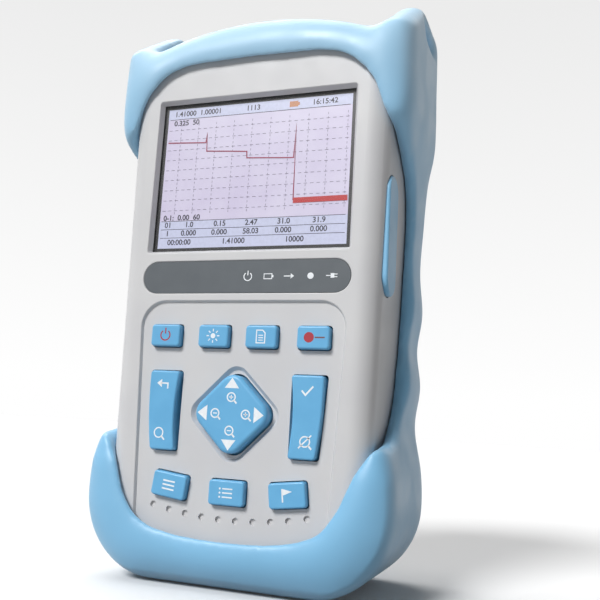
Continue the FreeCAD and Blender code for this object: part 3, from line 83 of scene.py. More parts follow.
# %% Camera
FOCAL = 45.79
SHIFT = (0.0183, -0.005)
NEAREST = 0.01
EYE = (0.1023, -0.2594, 0.0525)
RIGHT = (0.94038, 0.33509, 0.05830)
UP = (0.00277, -0.17895, 0.98385)
BACK = (0.34011, -0.92504, -0.16921)

camera = bpy.data.objects.new("camera", bpy.data.cameras.new("camera"))
scene.collection.objects.link(camera)
camera.data.lens = FOCAL
camera.data.shift_x, camera.data.shift_y = SHIFT
camera.data.clip_start = NEAREST
turned = Matrix((RIGHT, UP, BACK)).transposed().to_4x4()
camera.matrix_world = Matrix.Translation(EYE) @ turned
scene.camera = camera
print("camera stands", round(Vector(EYE).length / MM), "mm from the foot of the case")

# %% [markdown]
# ## Backdrop
#
# A photographer hangs white paper behind the object. Here the world is the paper. A ray from the camera, a
# mirror or glass sees it white and greying a little towards the top, as in the photograph. A ray that
# carries light sees only a dim even fill, so the background is bright and the object isn't bleached by it.

# %% Backdrop
FILL = 0.13
BACKDROP_RISE = (0.05, 0.5)
BACKDROP_TONES = (1.0, 0.84)


def map_range(tree, value, start, end):
    """Carry a value from one range to another in a straight line, and hold it inside the second."""
    node = tree.nodes.new("ShaderNodeMapRange")
    for socket, number in zip(("From Min", "From Max", "To Min", "To Max"), (*start, *end)):
        node.inputs[socket].default_value = number
    tree.links.new(value, node.inputs["Value"])
    return node.outputs["Result"]


def seen_directly(tree):
    """One where a ray comes from the camera, a mirror or glass, and nothing where it carries light."""
    path = tree.nodes.new("ShaderNodeLightPath")
    total = path.outputs["Is Camera Ray"]
    for kind in ("Is Glossy Ray", "Is Transmission Ray"):
        add = tree.nodes.new("ShaderNodeMath")
        add.operation = "MAXIMUM"
        tree.links.new(total, add.inputs[0])
        tree.links.new(path.outputs[kind], add.inputs[1])
        total = add.outputs[0]
    return total


def studio_world():
    """A dim even fill for the object, and for the eye a backdrop whose tone falls with height."""
    world = bpy.data.worlds.new("studio")
    scene.world = world
    world.use_nodes = True
    tree = world.node_tree
    way = tree.nodes.new("ShaderNodeTexCoord")
    parts = tree.nodes.new("ShaderNodeSeparateXYZ")
    tree.links.new(way.outputs["Generated"], parts.inputs["Vector"])
    sky = map_range(tree, parts.outputs["Z"], BACKDROP_RISE, BACKDROP_TONES)
    strength = map_range(tree, seen_directly(tree), (0, 1), (FILL, 1))
    tree.links.new(sky, strength.node.inputs["To Max"])
    background = tree.nodes["Background"]
    background.inputs["Color"].default_value = (1, 1, 1, 1)
    tree.links.new(strength, background.inputs["Strength"])


studio_world()
print("backdrop from", BACKDROP_TONES[0], "at the floor to", BACKDROP_TONES[1], "above, fill", FILL)

# %% [markdown]
# ## Floor
#
# The floor is one flat sheet that catches the shadow. To the eye it is as white as the backdrop and melts
# into it. The light that it throws back is weaker than its look, so the shade under the lips of the boot
# stays. It belongs to the stage and not to the object.

# %% Floor
FLOOR_REACH = 8.0
FLOOR_SEEN = 0.82
FLOOR_THROWN = 0.33
FLOOR_GLOW = 0.02


def studio_floor():
    """A wide square at height zero, whose colour and glow depend on where a ray comes from."""
    data = bpy.data.meshes.new("floor")
    corners = np.array(((-1, -1, 0), (1, -1, 0), (1, 1, 0), (-1, 1, 0))) * FLOOR_REACH
    data.from_pydata(corners.tolist(), [], [(0, 1, 2, 3)])
    floor = bpy.data.objects.new("floor", data)
    scene.collection.objects.link(floor)
    paint = bpy.data.materials.new("floor_paper")
    paint.use_nodes = True
    tree = paint.node_tree
    shader = tree.nodes["Principled BSDF"]
    shader.inputs["Roughness"].default_value = 0.9
    shader.inputs["Specular IOR Level"].default_value = 0.1
    shader.inputs["Emission Color"].default_value = (1, 1, 1, 1)
    seen = seen_directly(tree)
    looks = {"Base Color": (FLOOR_THROWN, FLOOR_SEEN), "Emission Strength": (0, FLOOR_GLOW)}
    for socket, ends in looks.items():
        tree.links.new(map_range(tree, seen, (0, 1), ends), shader.inputs[socket])
    data.materials.append(paint)


studio_floor()
print("floor:", FLOOR_REACH * 2, "m wide")

# %% [markdown]
# ## Lamps
#
# A broad sun stands on the left in front, so the front is bright, lips that face it are brighter and the
# right flank falls into shade, as in the photograph. It is as far away as a sun, so the whole floor gets
# the same light. It also stands where the display window doesn't mirror it into the camera. A weaker and
# still broader sun overhead brightens the head and draws the back for other views.

# %% Lamps
LAMPS = {
    "front_sun": ((-0.28, -0.72, 0.635), 0.94, 20),
    "top_sun": ((-0.4, 0.2, 0.89), 0.6, 50),
}


def broad_sun(name, stands_at, level, width):
    """A sun that shines from a direction. Its level is what a white sheet facing it would show, and its width
    in degrees makes the shadows soft."""
    lamp = bpy.data.objects.new(name, bpy.data.lights.new(name, "SUN"))
    lamp.data.energy = level * np.pi
    lamp.data.angle = np.radians(width)
    lamp.rotation_euler = Vector(stands_at).to_track_quat("Z", "Y").to_euler()
    scene.collection.objects.link(lamp)


for name, lamp_values in LAMPS.items():
    broad_sun(name, *lamp_values)
scene.view_settings.view_transform = "Standard"
print("lamps:", ", ".join(LAMPS))

# %% [markdown]
# ## Helpers for finishes
#
# Moulded plastic is never one flat colour. Its skin has a fine spark-eroded grain, its tone drifts a little
# across the part, and hands polish it unevenly. Small helpers add those things to any finish, each at its
# own real scale in millimetres, so every material further down is a base colour plus what it needs. The
# noise sits on Object coordinates, so it stays on the piece when the piece moves.

# %% Colour and noise
NOISE_ENDS = (0.35, 0.65)


def srgb(red, green, blue):
    """A screen colour from 0 to 255 as the linear colour that the shaders work with."""
    share = np.array((red, green, blue)) / 255
    linear = np.where(share <= 0.04045, share / 12.92, ((share + 0.055) / 1.055) ** 2.4)
    return (*(float(value) for value in linear), 1.0)


def new_finish(name, colour, roughness, metallic=0.0):
    """A finish with its base colour, roughness and metalness."""
    finish = bpy.data.materials.new(name)
    finish.use_nodes = True
    shader = finish.node_tree.nodes["Principled BSDF"]
    shader.inputs["Base Color"].default_value = colour
    shader.inputs["Roughness"].default_value = roughness
    shader.inputs["Metallic"].default_value = metallic
    return finish


def noise(finish, size, detail=2.0, stretch=(1, 1, 1)):
    """Cloudy noise whose lumps are about this many millimetres across, fixed to the object."""
    tree = finish.node_tree
    place = tree.nodes.new("ShaderNodeTexCoord")
    mapping = tree.nodes.new("ShaderNodeMapping")
    mapping.inputs["Scale"].default_value = stretch
    cloud = tree.nodes.new("ShaderNodeTexNoise")
    cloud.inputs["Scale"].default_value = 1 / (size * MM)
    cloud.inputs["Detail"].default_value = detail
    tree.links.new(place.outputs["Object"], mapping.inputs["Vector"])
    tree.links.new(mapping.outputs["Vector"], cloud.inputs["Vector"])
    return cloud.outputs["Fac"]


def blend_colour(finish, share, other):
    """Mix another colour over what the finish has so far, by a share from 0 to 1."""
    tree = finish.node_tree
    base = tree.nodes["Principled BSDF"].inputs["Base Color"]
    mix = tree.nodes.new("ShaderNodeMix")
    mix.data_type = "RGBA"
    mix.inputs["A"].default_value = base.default_value
    mix.inputs["B"].default_value = other
    tree.links.new(share, mix.inputs["Factor"])
    if base.is_linked:
        tree.links.new(base.links[0].from_socket, mix.inputs["A"])
    tree.links.new(mix.outputs["Result"], base)


print("a screen grey of 128 is", round(srgb(128, 128, 128)[0], 3), "in linear light")

# %% [markdown]
# ## Drift, polish, grain, wear and painted light
#
# These are what the eye reads as a material. Drift and polish vary slowly, over centimetres. Grain is a bump of
# hundredths of a millimetre. Sharp edges are painted paler, partly as wear that hands rub in and partly as a
# painted sheen. The rubber is painted paler towards the top as a painted highlight, where the light falls on it
# most.

# %% Drift, polish, grain, wear and painted light
FINE_DETAIL = 3.0
EDGE_BEND = (0.52, 0.6)


def add_drift(finish, other, size):
    """Let the colour drift between the base colour and another one."""
    cloud = noise(finish, size)
    blend_colour(finish, map_range(finish.node_tree, cloud, NOISE_ENDS, (0, 1)), other)


def add_polish(finish, amount, size, stretch=(1, 1, 1)):
    """Let the roughness vary by an amount to each side."""
    tree = finish.node_tree
    roughness = tree.nodes["Principled BSDF"].inputs["Roughness"]
    ends = (roughness.default_value - amount, roughness.default_value + amount)
    cloud = noise(finish, size, FINE_DETAIL, stretch)
    tree.links.new(map_range(tree, cloud, NOISE_ENDS, ends), roughness)


def add_grain(finish, size, depth):
    """Raise a fine grain: its lumps' size and depth in millimetres."""
    tree = finish.node_tree
    bump = tree.nodes.new("ShaderNodeBump")
    bump.inputs["Distance"].default_value = depth * MM
    tree.links.new(noise(finish, size, FINE_DETAIL), bump.inputs["Height"])
    tree.links.new(bump.outputs["Normal"], tree.nodes["Principled BSDF"].inputs["Normal"])


def add_wear_and_sheen_edges(finish, pale):
    """Blend towards a paler tone where the surface is sharply convex: partly wear that hands rub in, partly a
    painted sheen along the edges.
    """
    tree = finish.node_tree
    shape = tree.nodes.new("ShaderNodeNewGeometry")
    blend_colour(finish, map_range(tree, shape.outputs["Pointiness"], EDGE_BEND, (0, 1)), pale)


def add_painted_top_highlight(finish, pale, start, end):
    """Blend towards a paler tone with height, from one level to another in millimetres: a painted highlight that
    stands in for the stronger light on the top.
    """
    tree = finish.node_tree
    place = tree.nodes.new("ShaderNodeTexCoord")
    parts = tree.nodes.new("ShaderNodeSeparateXYZ")
    tree.links.new(place.outputs["Object"], parts.inputs["Vector"])
    blend_colour(finish, map_range(tree, parts.outputs["Z"], (start * MM, end * MM), (0, 1)), pale)


print("edges are worn from a bend of", EDGE_BEND[0], "and fully at", EDGE_BEND[1])

# %% [markdown]
# ## The finishes of this instrument
#
# The case is pale grey with a satin grain. The boot is soft blue rubber, matt with a faint bloom, and painted
# paler towards its head as a painted highlight, where the light falls on it most. Keys are the same blue in a
# stronger silicone.
# The window is nearly all see-through, so the picture behind it keeps its colours. Inside are plain board
# green, steel, brass and nickel.

# %% Finishes one by one
def case_plastic():
    """Pale grey moulding with a satin grain."""
    finish = new_finish("case_plastic", srgb(206, 206, 207), 0.46)
    add_drift(finish, srgb(202, 202, 204), 22)
    add_polish(finish, 0.05, 9)
    add_grain(finish, 0.32, 0.012)
    return finish


def boot_rubber():
    """Blue rubber with a soft bloom and a skin like fine leather."""
    finish = new_finish("boot_rubber", srgb(128, 187, 224), 0.42)
    shader = finish.node_tree.nodes["Principled BSDF"]
    shader.inputs["Sheen Weight"].default_value = 0.3
    shader.inputs["Sheen Roughness"].default_value = 0.5
    add_drift(finish, srgb(124, 182, 218), 30)
    # painted highlight: the boot is painted paler towards its head, where the light falls on it most
    add_painted_top_highlight(finish, srgb(163, 205, 232), 130, 185)
    # edges painted paler: partly wear, partly a painted sheen
    add_wear_and_sheen_edges(finish, srgb(178, 214, 236))
    add_polish(finish, 0.06, 12)
    add_grain(finish, 0.45, 0.02)
    return finish


def key_rubber():
    """Satin silicone, a little stronger in colour than the boot."""
    finish = new_finish("key_rubber", srgb(104, 176, 220), 0.38)
    add_drift(finish, srgb(99, 171, 216), 7)
    add_polish(finish, 0.05, 3)
    add_grain(finish, 0.25, 0.006)
    return finish


def plain_plastic(name, colour, other, roughness):
    """A small moulding with light grain."""
    finish = new_finish(name, colour, roughness)
    add_drift(finish, other, 6)
    add_polish(finish, 0.025, 4)
    add_grain(finish, 0.3, 0.008)
    return finish


def window_glass():
    """Clear hard-coated sheet: nearly all of it lets light through, and the rest mirrors."""
    finish = new_finish("window_glass", (0.9, 0.93, 0.95, 1), 0.06, 1.0)
    finish.node_tree.nodes["Principled BSDF"].inputs["Alpha"].default_value = 0.02
    add_polish(finish, 0.02, 15)
    return finish


def display_face():
    """The pale violet ground of the display, whose tone clouds a little as on a real panel."""
    finish = new_finish("display_face", srgb(206, 198, 224), 0.35)
    add_drift(finish, srgb(214, 208, 230), 16)
    return finish


def metal(name, colour, other, roughness, stretch=(1, 1, 1)):
    """A metal whose polish runs along one way where it is brushed."""
    finish = new_finish(name, colour, roughness, 1.0)
    add_drift(finish, other, 4)
    add_polish(finish, 0.03, 2.5, stretch)
    return finish


def circuit_board():
    """Green lacquer over copper tracks."""
    finish = new_finish("circuit_board", (0.02, 0.16, 0.07, 1), 0.35)
    add_drift(finish, (0.03, 0.22, 0.1, 1), 1.5)
    return finish


special = (case_plastic, boot_rubber, key_rubber, window_glass, display_face, circuit_board)
FINISHES = {make.__name__: make() for make in special}
print("finishes with a recipe of their own:", ", ".join(FINISHES))

# %% [markdown]
# ## Finishes by material slot
#
# The other pieces are small mouldings and metals, so two tables are enough for them: a base colour, the
# colour that it drifts to, and a roughness. Every CAD node comes with an empty material named after its
# slot, which is replaced by the finish of that name.

# %% Finishes by material slot
PLASTICS = {
    "dark_plastic": (srgb(62, 65, 70), srgb(60, 63, 68), 0.5),
    "black_plastic": (srgb(26, 26, 28), srgb(32, 32, 34), 0.42),
    "white_plastic": (srgb(232, 232, 228), srgb(224, 224, 220), 0.45),
    "strip_plastic": (srgb(90, 96, 101), srgb(87, 93, 98), 0.34),
    "zirconia": (srgb(244, 244, 240), srgb(238, 238, 234), 0.15),
    "battery_wrap": (srgb(40, 70, 130), srgb(34, 62, 120), 0.28),
    "grey_silicone": (srgb(140, 142, 144), srgb(132, 134, 137), 0.5),
    "black_rubber": (srgb(38, 38, 40), srgb(30, 30, 32), 0.62),
}
BRUSHED = (1, 1, 12)
METALS = {
    "sheet_steel": ((0.6, 0.61, 0.62, 1), (0.52, 0.53, 0.54, 1), 0.32, BRUSHED),
    "steel_parts": ((0.56, 0.56, 0.57, 1), (0.46, 0.46, 0.47, 1), 0.34),
    "aluminium_case": ((0.72, 0.73, 0.74, 1), (0.66, 0.67, 0.68, 1), 0.45),
    "nickel": ((0.78, 0.76, 0.72, 1), (0.7, 0.68, 0.64, 1), 0.22),
    "contact_brass": ((0.8, 0.6, 0.28, 1), (0.72, 0.52, 0.22, 1), 0.25),
}
FINISHES.update({name: plain_plastic(name, *values) for name, values in PLASTICS.items()})
FINISHES.update({name: metal(name, *values) for name, values in METALS.items()})
for node in nodes.values():
    for socket in node.material_slots:
        socket.material = FINISHES[socket.material.name]
print("finishes:", len(FINISHES), "on", len(nodes), "CAD nodes")

# %% [markdown]
# ## The rubber boot: an even skin
#
# The boot is the hardest piece: one rubber moulding that wraps the foot, runs up both flanks, bridges the
# head and ends in two strap ears, with soft lips everywhere. A grid of two parameters can't close round its
# windows, so it starts from the CAD solid. That is merged and rebuilt as an even skin of small cells. The
# rows of cells lie askew to the object, or a long lip that runs almost along a row would show stairs.

# %% Even skin
CELL = 1.1
SKEW = (27, 34, 18)
LOOSE = 0.002


def weld(data, reach, split=False):
    """Join points closer together than the reach, and split all faces into triangles where that is asked."""
    work = bmesh.new()
    work.from_mesh(data)
    bmesh.ops.remove_doubles(work, verts=work.verts, dist=reach)
    if split:
        bmesh.ops.triangulate(work, faces=work.faces[:])
    work.to_mesh(data)
    work.free()


def merged_copy(node, name):
    """A copy of a CAD node's mesh with its loose triangles joined."""
    data = nodes[node].data.copy()
    weld(data, LOOSE * MM)
    piece = bpy.data.objects.new(name, data)
    scene.collection.objects.link(piece)
    return piece


def even_skin(piece, cell):
    """The piece's mesh rebuilt from cells of one size: turned askew, cut into cells and turned back."""
    askew = Euler(np.radians(SKEW)).to_matrix().to_4x4()
    piece.data.transform(askew)
    remesh = piece.modifiers.new("cells", "REMESH")
    remesh.mode = "VOXEL"
    remesh.voxel_size = cell * MM
    remesh.use_smooth_shade = True
    bpy.context.view_layer.update()
    shown = piece.evaluated_get(bpy.context.evaluated_depsgraph_get())
    data = bpy.data.meshes.new_from_object(shown)
    piece.modifiers.clear()
    data.transform(askew.inverted())
    piece.data = data
    return data


boot = merged_copy("protective_boot", "rubber_boot")
boot_skin = even_skin(boot, CELL)
print("boot skin:", len(boot_skin.vertices), "points,", len(boot_skin.polygons), "cells")

# %% [markdown]
# ## Relaxing a skin
#
# A mould maker polishes lips and corners round and leaves broad faces where they are. The same happens when
# every point moves part of the way to the mean of its neighbours, again and again. It is done here on whole
# arrays, and a share for each point says how much it takes part. Smooth steps and windows draw those
# shares.

# %% Relaxing
def read_points(data):
    """The mesh's points in millimetres."""
    flat = np.empty(len(data.vertices) * 3)
    data.vertices.foreach_get("co", flat)
    return flat.reshape(-1, 3) / MM


def write_points(data, points):
    """Put points in millimetres back into the mesh."""
    data.vertices.foreach_set("co", (points * MM).ravel())
    data.update()


def edge_pairs(data):
    """The numbers of the two points of every edge, a row for each edge."""
    pairs = np.empty(len(data.edges) * 2, np.int64)
    data.edges.foreach_get("vertices", pairs)
    return pairs.reshape(-1, 2)


def relax(points, pairs, share, passes):
    """Each pass moves every point by its share of the way to the mean of the points it has edges to."""
    first, second = pairs.T
    count = len(points)
    neighbours = np.bincount(pairs.ravel(), minlength=count)
    for _ in range(passes):
        total = np.empty_like(points)
        for axis in range(points.shape[1]):
            here = np.bincount(first, points[second, axis], count)
            total[:, axis] = here + np.bincount(second, points[first, axis], count)
        points = points + share[:, None] * (total / neighbours[:, None] - points)
    return points


def smooth_step(value, start, end):
    """0 before start, 1 after end, and between them the S of 3 t*t - 2 t*t*t."""
    share = np.clip((value - start) / (end - start), 0, 1)
    return share * share * (3 - 2 * share)


def window(value, start, end, ramp):
    """1 between start and end, falling smoothly to 0 over a ramp at each side."""
    return smooth_step(value, start - ramp, start) * smooth_step(-value, -end - ramp, -end)


boot_points = read_points(boot_skin)
boot_edges = edge_pairs(boot_skin)
print("each point has", round(len(boot_edges) * 2 / len(boot_points), 2), "neighbours on average")

# %% [markdown]
# ## Foot and cushion
#
# Two forms of the boot have a formula of their own. The foot is round along its front and side edges, like
# a block whose edges were rolled over a tube. What stands in front of the case swells like a cushion: there
# the depth alone is evened out, so the outline seen from the front keeps its place.

# %% Foot and cushion
FOOT_ROUND = 13.0
CASE_FACE = 28.1
CUSHION_RAMP = 1.5
DOME_PASSES = 120
HALF = 0.5


def edges_of(node):
    """The lowest and highest corner of a CAD node in millimetres, as two arrays."""
    low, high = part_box(node)
    return np.array(low) / MM, np.array(high) / MM


def rounded_foot(points):
    """Round the foot's front and side edges: a point farther from an inner block than the radius is drawn
    straight towards the block until it is one radius away, so flat faces stay and only edges give way."""
    low, high = edges_of("protective_boot")
    core = points.copy()
    core[:, 0] = np.clip(points[:, 0], low[0] + FOOT_ROUND, high[0] - FOOT_ROUND)
    core[:, 1] = np.maximum(points[:, 1], low[1] + FOOT_ROUND)
    core[:, 2] = np.maximum(points[:, 2], low[2] + FOOT_ROUND)
    away = points - core
    reach = np.linalg.norm(away, axis=1, keepdims=True)
    drawn = core + away * np.minimum(1, FOOT_ROUND / np.maximum(reach, 1e-9))
    return np.where(points[:, 2:] < FOOT_ROUND * 2, drawn, points)


def domed(points, pairs):
    """The depth of every point once the skin in front of the case swells like a cushion: the depth alone is
    evened out there, pass by pass, and is then stretched back until the thickest place is as thick as it was."""
    in_front = smooth_step(-points[:, 1], CASE_FACE, CASE_FACE + CUSHION_RAMP)
    depth = relax(points[:, 1:2], pairs, HALF * in_front, DOME_PASSES)[:, 0]
    stretch = (points[:, 1].min() + CASE_FACE) / (depth.min() + CASE_FACE)
    print("cushion stretched by", round(float(stretch), 2))
    return np.where(depth < -CASE_FACE, (depth + CASE_FACE) * stretch - CASE_FACE, depth)


print("foot rounded to", FOOT_ROUND, "mm")

# %% [markdown]
# ## The finished boot
#
# The order matters. The foot is rounded first, then all lips are relaxed a little, then the places where
# the band flows into the ears, which are the softest in the photograph. The cushion comes next, and at the
# end the lips' four ends are relaxed once more, because there the cushion runs out into the flank.

# %% Finished boot
LIP_PASSES = 20
EAR_PASSES = 24
END_PASSES = 40
EAR_ROOT = (172, 184)
EAR_SIDE = (30, 40)
LIP_ENDS = ((45, 92), (142, 182))
LIP_RAMP = 8
LIP_SIDE = (38, 45)
LIP_DEPTH = (4, 14)


def make_boot(data, points, pairs):
    """Shape the skin: round foot, soft lips, softer roots of the ears, cushion, soft lip ends."""
    everywhere = np.full(len(points), HALF)
    points = relax(rounded_foot(points), pairs, everywhere, LIP_PASSES)
    near_ear = smooth_step(points[:, 2], *EAR_ROOT) * smooth_step(np.abs(points[:, 0]), *EAR_SIDE)
    points = relax(points, pairs, HALF * near_ear, EAR_PASSES)
    points[:, 1] = domed(points, pairs)
    lip_ends = sum(window(points[:, 2], *span, LIP_RAMP) for span in LIP_ENDS)
    lip_ends *= smooth_step(np.abs(points[:, 0]), *LIP_SIDE) * smooth_step(-points[:, 1], *LIP_DEPTH)
    points = relax(points, pairs, HALF * lip_ends, END_PASSES)
    write_points(data, points)
    data.materials.clear()
    data.materials.append(FINISHES["boot_rubber"])
    print("boot from", points.min(0).round(1), "to", points.max(0).round(1), "mm")


make_boot(boot_skin, boot_points, boot_edges)
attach(boot, "housing")
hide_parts("protective_boot")

# %% [markdown]
# ## A rib under the shoulder
#
# The wall that carries the side port is as deep as the port, and at its lower end its corner stands a
# little proud of the rounded shoulder. A moulding would be trimmed flush there. The CAD mesh stays as it
# is: two displacing modifiers, one for each direction, draw just that corner back onto the round.

# %% Shoulder rib
ROUND = 5.78
RIB_BOTTOM = 94.6
RIB_TOP = 140.4
RIB_SLACK = 0.2
RIB_OUTWARD = 3
RIB_FORWARD = 1
RIB_PROUD = 0.05
SHOULDER_AXIS = (40.99, -21.64)
SHOULDER_LEAN = 0.0229


def rib_reach(points):
    """How far each point lies from the middle line of the shoulder's round, across and in depth. The line
    leans outwards as the case widens: its place across grows with height."""
    across = SHOULDER_AXIS[0] + SHOULDER_LEAN * (points[:, 2] - RIB_BOTTOM)
    return np.stack((points[:, 0] - across, points[:, 1] - SHOULDER_AXIS[1]), 1)


def trim_rib():
    """Weigh each proud point by how far it must go to lie on the round, then displace by those weights."""
    shell = nodes["front_shell"]
    points = read_points(shell.data)
    away = rib_reach(points)
    reach = np.hypot(*away.T)
    near = (points[:, 2] > RIB_BOTTOM - RIB_SLACK) & (points[:, 2] < RIB_TOP + RIB_SLACK)
    near &= (away[:, 0] > RIB_OUTWARD) & (away[:, 1] < -RIB_FORWARD)
    proud = np.flatnonzero(near & (reach > ROUND + RIB_PROUD))
    back = away[proud] * (1 - ROUND / reach[proud, None])
    for column, axis in enumerate("XY"):
        group = shell.vertex_groups.new(name="rib_" + axis)
        weights, which = np.unique(np.abs(back[:, column]), return_inverse=True)
        for place, weight in enumerate(weights):
            group.add(proud[which == place].tolist(), float(weight), "REPLACE")
        trim = shell.modifiers.new("trim_" + axis, "DISPLACE")
        trim.vertex_group = group.name
        trim.direction = axis
        trim.mid_level = 0
        trim.strength = MM * (-1 if axis == "X" else 1)
    print("rib points drawn back:", len(proud), "by up to", round(float(np.hypot(*back.T).max()), 2), "mm")


trim_rib()

# %% [markdown]
# ## Print and picture: bands and slabs
#
# The marks on the keys are printed ink, and the picture is a layer of the display. Both are thin shapes on
# a flat face, so both are built from two forms: a band, which carries a flat rectangular section along a
# path, and a slab, which is an outline with a thickness. They are worked out in the plane of the face: the
# first number runs right, the second runs up, the third comes out towards the eye.

# %% Bands and slabs
INK = 0.03
SHARPEST = 0.35


def unit(vectors):
    """Vectors scaled to length one."""
    return vectors / np.maximum(np.linalg.norm(vectors, axis=1, keepdims=True), 1e-9)


def band(path, width, closed=False, thick=INK):
    """A flat line: at each point the section's four corners are the point plus and minus half the width
    along the mitred normal, at the bottom and at the top of the ink."""
    path = np.asarray(path, float)
    ahead = unit(np.roll(path, -1, 0) - path)
    behind = np.roll(ahead, 1, 0)
    if not closed:
        ahead[-1] = behind[-1]
        behind[0] = ahead[0]
    normal = np.stack((-ahead[:, 1], ahead[:, 0]), 1)
    mitre = unit(normal + np.stack((-behind[:, 1], behind[:, 0]), 1))
    reach = width / 2 / np.maximum((mitre * normal).sum(1), SHARPEST)
    side = mitre * reach[:, None]
    count = len(path)
    corners = np.empty((count, 4, 3))
    for column, (sign, height) in enumerate(((-1, 0), (1, 0), (1, thick), (-1, thick))):
        corners[:, column, :2] = path + sign * side
        corners[:, column, 2] = height
    steps = np.arange(count if closed else count - 1)
    following = (steps + 1) % count
    faces = []
    for column in range(4):
        beside = (column + 1) % 4
        ring = (steps * 4 + column, steps * 4 + beside, following * 4 + beside, following * 4 + column)
        faces += np.stack(ring, 1).tolist()
    if not closed:
        last = (count - 1) * 4
        faces += [[0, 3, 2, 1], [last, last + 1, last + 2, last + 3]]
    return corners.reshape(-1, 3), faces


def slab(outline, thick=INK):
    """An outline with a thickness: one face below, one above and a wall all round."""
    outline = np.asarray(outline, float)
    before = np.roll(outline, 1, 0)
    if (before[:, 0] * outline[:, 1] - outline[:, 0] * before[:, 1]).sum() < 0:
        outline = outline[::-1]
    count = len(outline)
    low = np.column_stack((outline, np.zeros(count)))
    high = np.column_stack((outline, np.full(count, thick)))
    steps = np.arange(count)
    following = (steps + 1) % count
    walls = np.stack((steps, following, following + count, steps + count), 1).tolist()
    faces = walls + [steps[::-1].tolist(), (steps + count).tolist()]
    return np.vstack((low, high)), faces


print("ink is", INK, "mm thick")

# %% [markdown]
# ## Round shapes, and putting shapes together
#
# Rings and spots are a band and a slab whose path is an arc. Any shape is a pair of points and faces, so it
# can be turned, moved and joined to others before it becomes one mesh.

# %% Round shapes
ROUND_STEPS = 24
FULL_TURN = 345


def arc(radius, start, end, centre=(0, 0), steps=ROUND_STEPS):
    """Points on a circle between two angles in degrees: the radius times cosine and sine, plus the centre."""
    angles = np.radians(np.linspace(start, end, steps))
    return np.column_stack((np.cos(angles), np.sin(angles))) * radius + np.array(centre)


def ring(radius, width):
    """A closed round line. The last point stops one step short of the first."""
    return band(arc(radius, 0, FULL_TURN), width, closed=True)


def disc(radius):
    """A filled round spot."""
    return slab(arc(radius, 0, FULL_TURN))


def moved(shape, right=0.0, up=0.0, turn=0.0, out=0.0):
    """A shape turned by an angle in degrees and moved in its plane, or out of it."""
    points, faces = shape
    angle = np.radians(turn)
    spin = np.array(((np.cos(angle), np.sin(angle)), (-np.sin(angle), np.cos(angle))))
    place = points.copy()
    place[:, :2] = points[:, :2] @ spin + (right, up)
    place[:, 2] += out
    return place, faces


def joined(shapes):
    """Several shapes as one: the points in a row, and each shape's faces counted on from there."""
    points, faces, start = [], [], 0
    for corners, loops in shapes:
        points.append(corners)
        faces += [[index + start for index in loop] for loop in loops]
        start += len(corners)
    return np.vstack(points), faces


print("a ring has", ROUND_STEPS, "steps of", 360 / ROUND_STEPS, "degrees")

# %% [markdown]
# ## Figures and inks
#
# The picture shows plain numbers. They come from Blender's own font, made a mesh at once and welded, so
# that they are shapes of the same kind as the others. The last helper sets shapes on a face that looks to
# the front and makes one piece of them, which rides on the body that carries the face.

# %% Figures and inks
BOLD = 0.05
FIGURE_WELD = 0.0001


def numerals(text, height, right, up, align="CENTER"):
    """Plain figures as a shape, with their middle or their left end at a place. The curve is drawn with
    millimetres as its unit, so its points are brought back to plain numbers."""
    curve = bpy.data.curves.new("figures", "FONT")
    curve.body = text
    curve.size = height
    curve.extrude = INK / 2
    curve.offset = BOLD
    curve.align_x = align
    curve.align_y = "CENTER"
    holder = bpy.data.objects.new("figures", curve)
    scene.collection.objects.link(holder)
    data = bpy.data.meshes.new_from_object(holder)
    weld(data, FIGURE_WELD, split=True)
    points = read_points(data) * MM
    faces = [list(loop.vertices) for loop in data.polygons]
    bpy.data.objects.remove(holder)
    return moved((points, faces), right, up, out=INK / 2)


def print_on_face(name, shapes, depth_y, body, finish):
    """Set plane shapes on a face that looks along -Y: right is X, up is Z, out is -Y."""
    points, faces = joined(shapes)
    placed = np.column_stack((points[:, 0], depth_y - points[:, 2], points[:, 1])) * MM
    data = bpy.data.meshes.new(name)
    data.from_pydata(placed.tolist(), [], faces)
    data.validate()
    data.update()
    data.materials.append(finish)
    piece = bpy.data.objects.new(name, data)
    scene.collection.objects.link(piece)
    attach(piece, body)


def ink(name, colour, roughness=0.35):
    """Printed ink or a dye of the display, with a slight unevenness."""
    finish = new_finish(name, colour, roughness)
    add_drift(finish, (*(value * 0.93 for value in colour[:3]), 1.0), 1.2)
    return finish


WHITE_INK = ink("white_ink", srgb(240, 244, 248), 0.5)
RED_INK = ink("red_ink", srgb(168, 44, 58), 0.5)
BROWN_INK = ink("brown_ink", srgb(120, 70, 72), 0.5)
print("inks for the keys:", WHITE_INK.name, RED_INK.name, BROWN_INK.name)

# %% [markdown]
# ## Marks on the keys
#
# Each key carries one plain mark in white: nothing is written. The diamond pad has four arrows and four
# lenses, the power key a ring with a bar, the fault key a red spot with its beam. Widths and places are in
# millimetres from the middle of the key.

# %% Marks
def arrow_head(size, turn=0.0):
    """A triangle that points right, turned by an angle."""
    return moved(slab([(-size / 2, -size * 0.75), (size / 2, 0), (-size / 2, size * 0.75)]), turn=turn)


def lens(radius, sign=""):
    """A magnifier: ring, handle and perhaps a plus, a minus or a slash."""
    handle = radius * 0.71
    shapes = [ring(radius, 0.42), band([(handle, -handle), (handle * 2, -handle * 2)], 0.55)]
    bar = radius * 0.5
    if sign in ("plus", "minus"):
        shapes.append(band([(-bar, 0), (bar, 0)], 0.34))
    if sign == "plus":
        shapes.append(band([(0, -bar), (0, bar)], 0.34))
    if sign == "slash":
        shapes.append(band([(-radius * 1.3, -radius * 1.3), (radius * 1.3, radius * 1.3)], 0.42))
    return joined(shapes)


def power_mark():
    """A broken ring and a bar."""
    return [band(arc(1.75, 125, 415), 0.42), band([(0, 0.5), (0, 2.5)], 0.42)]


def source_mark():
    """A lamp: a spot with eight rays."""
    rays = [moved(band([(1.45, 0), (2.35, 0)], 0.36), turn=angle) for angle in range(0, 360, 45)]
    return [disc(0.85)] + rays


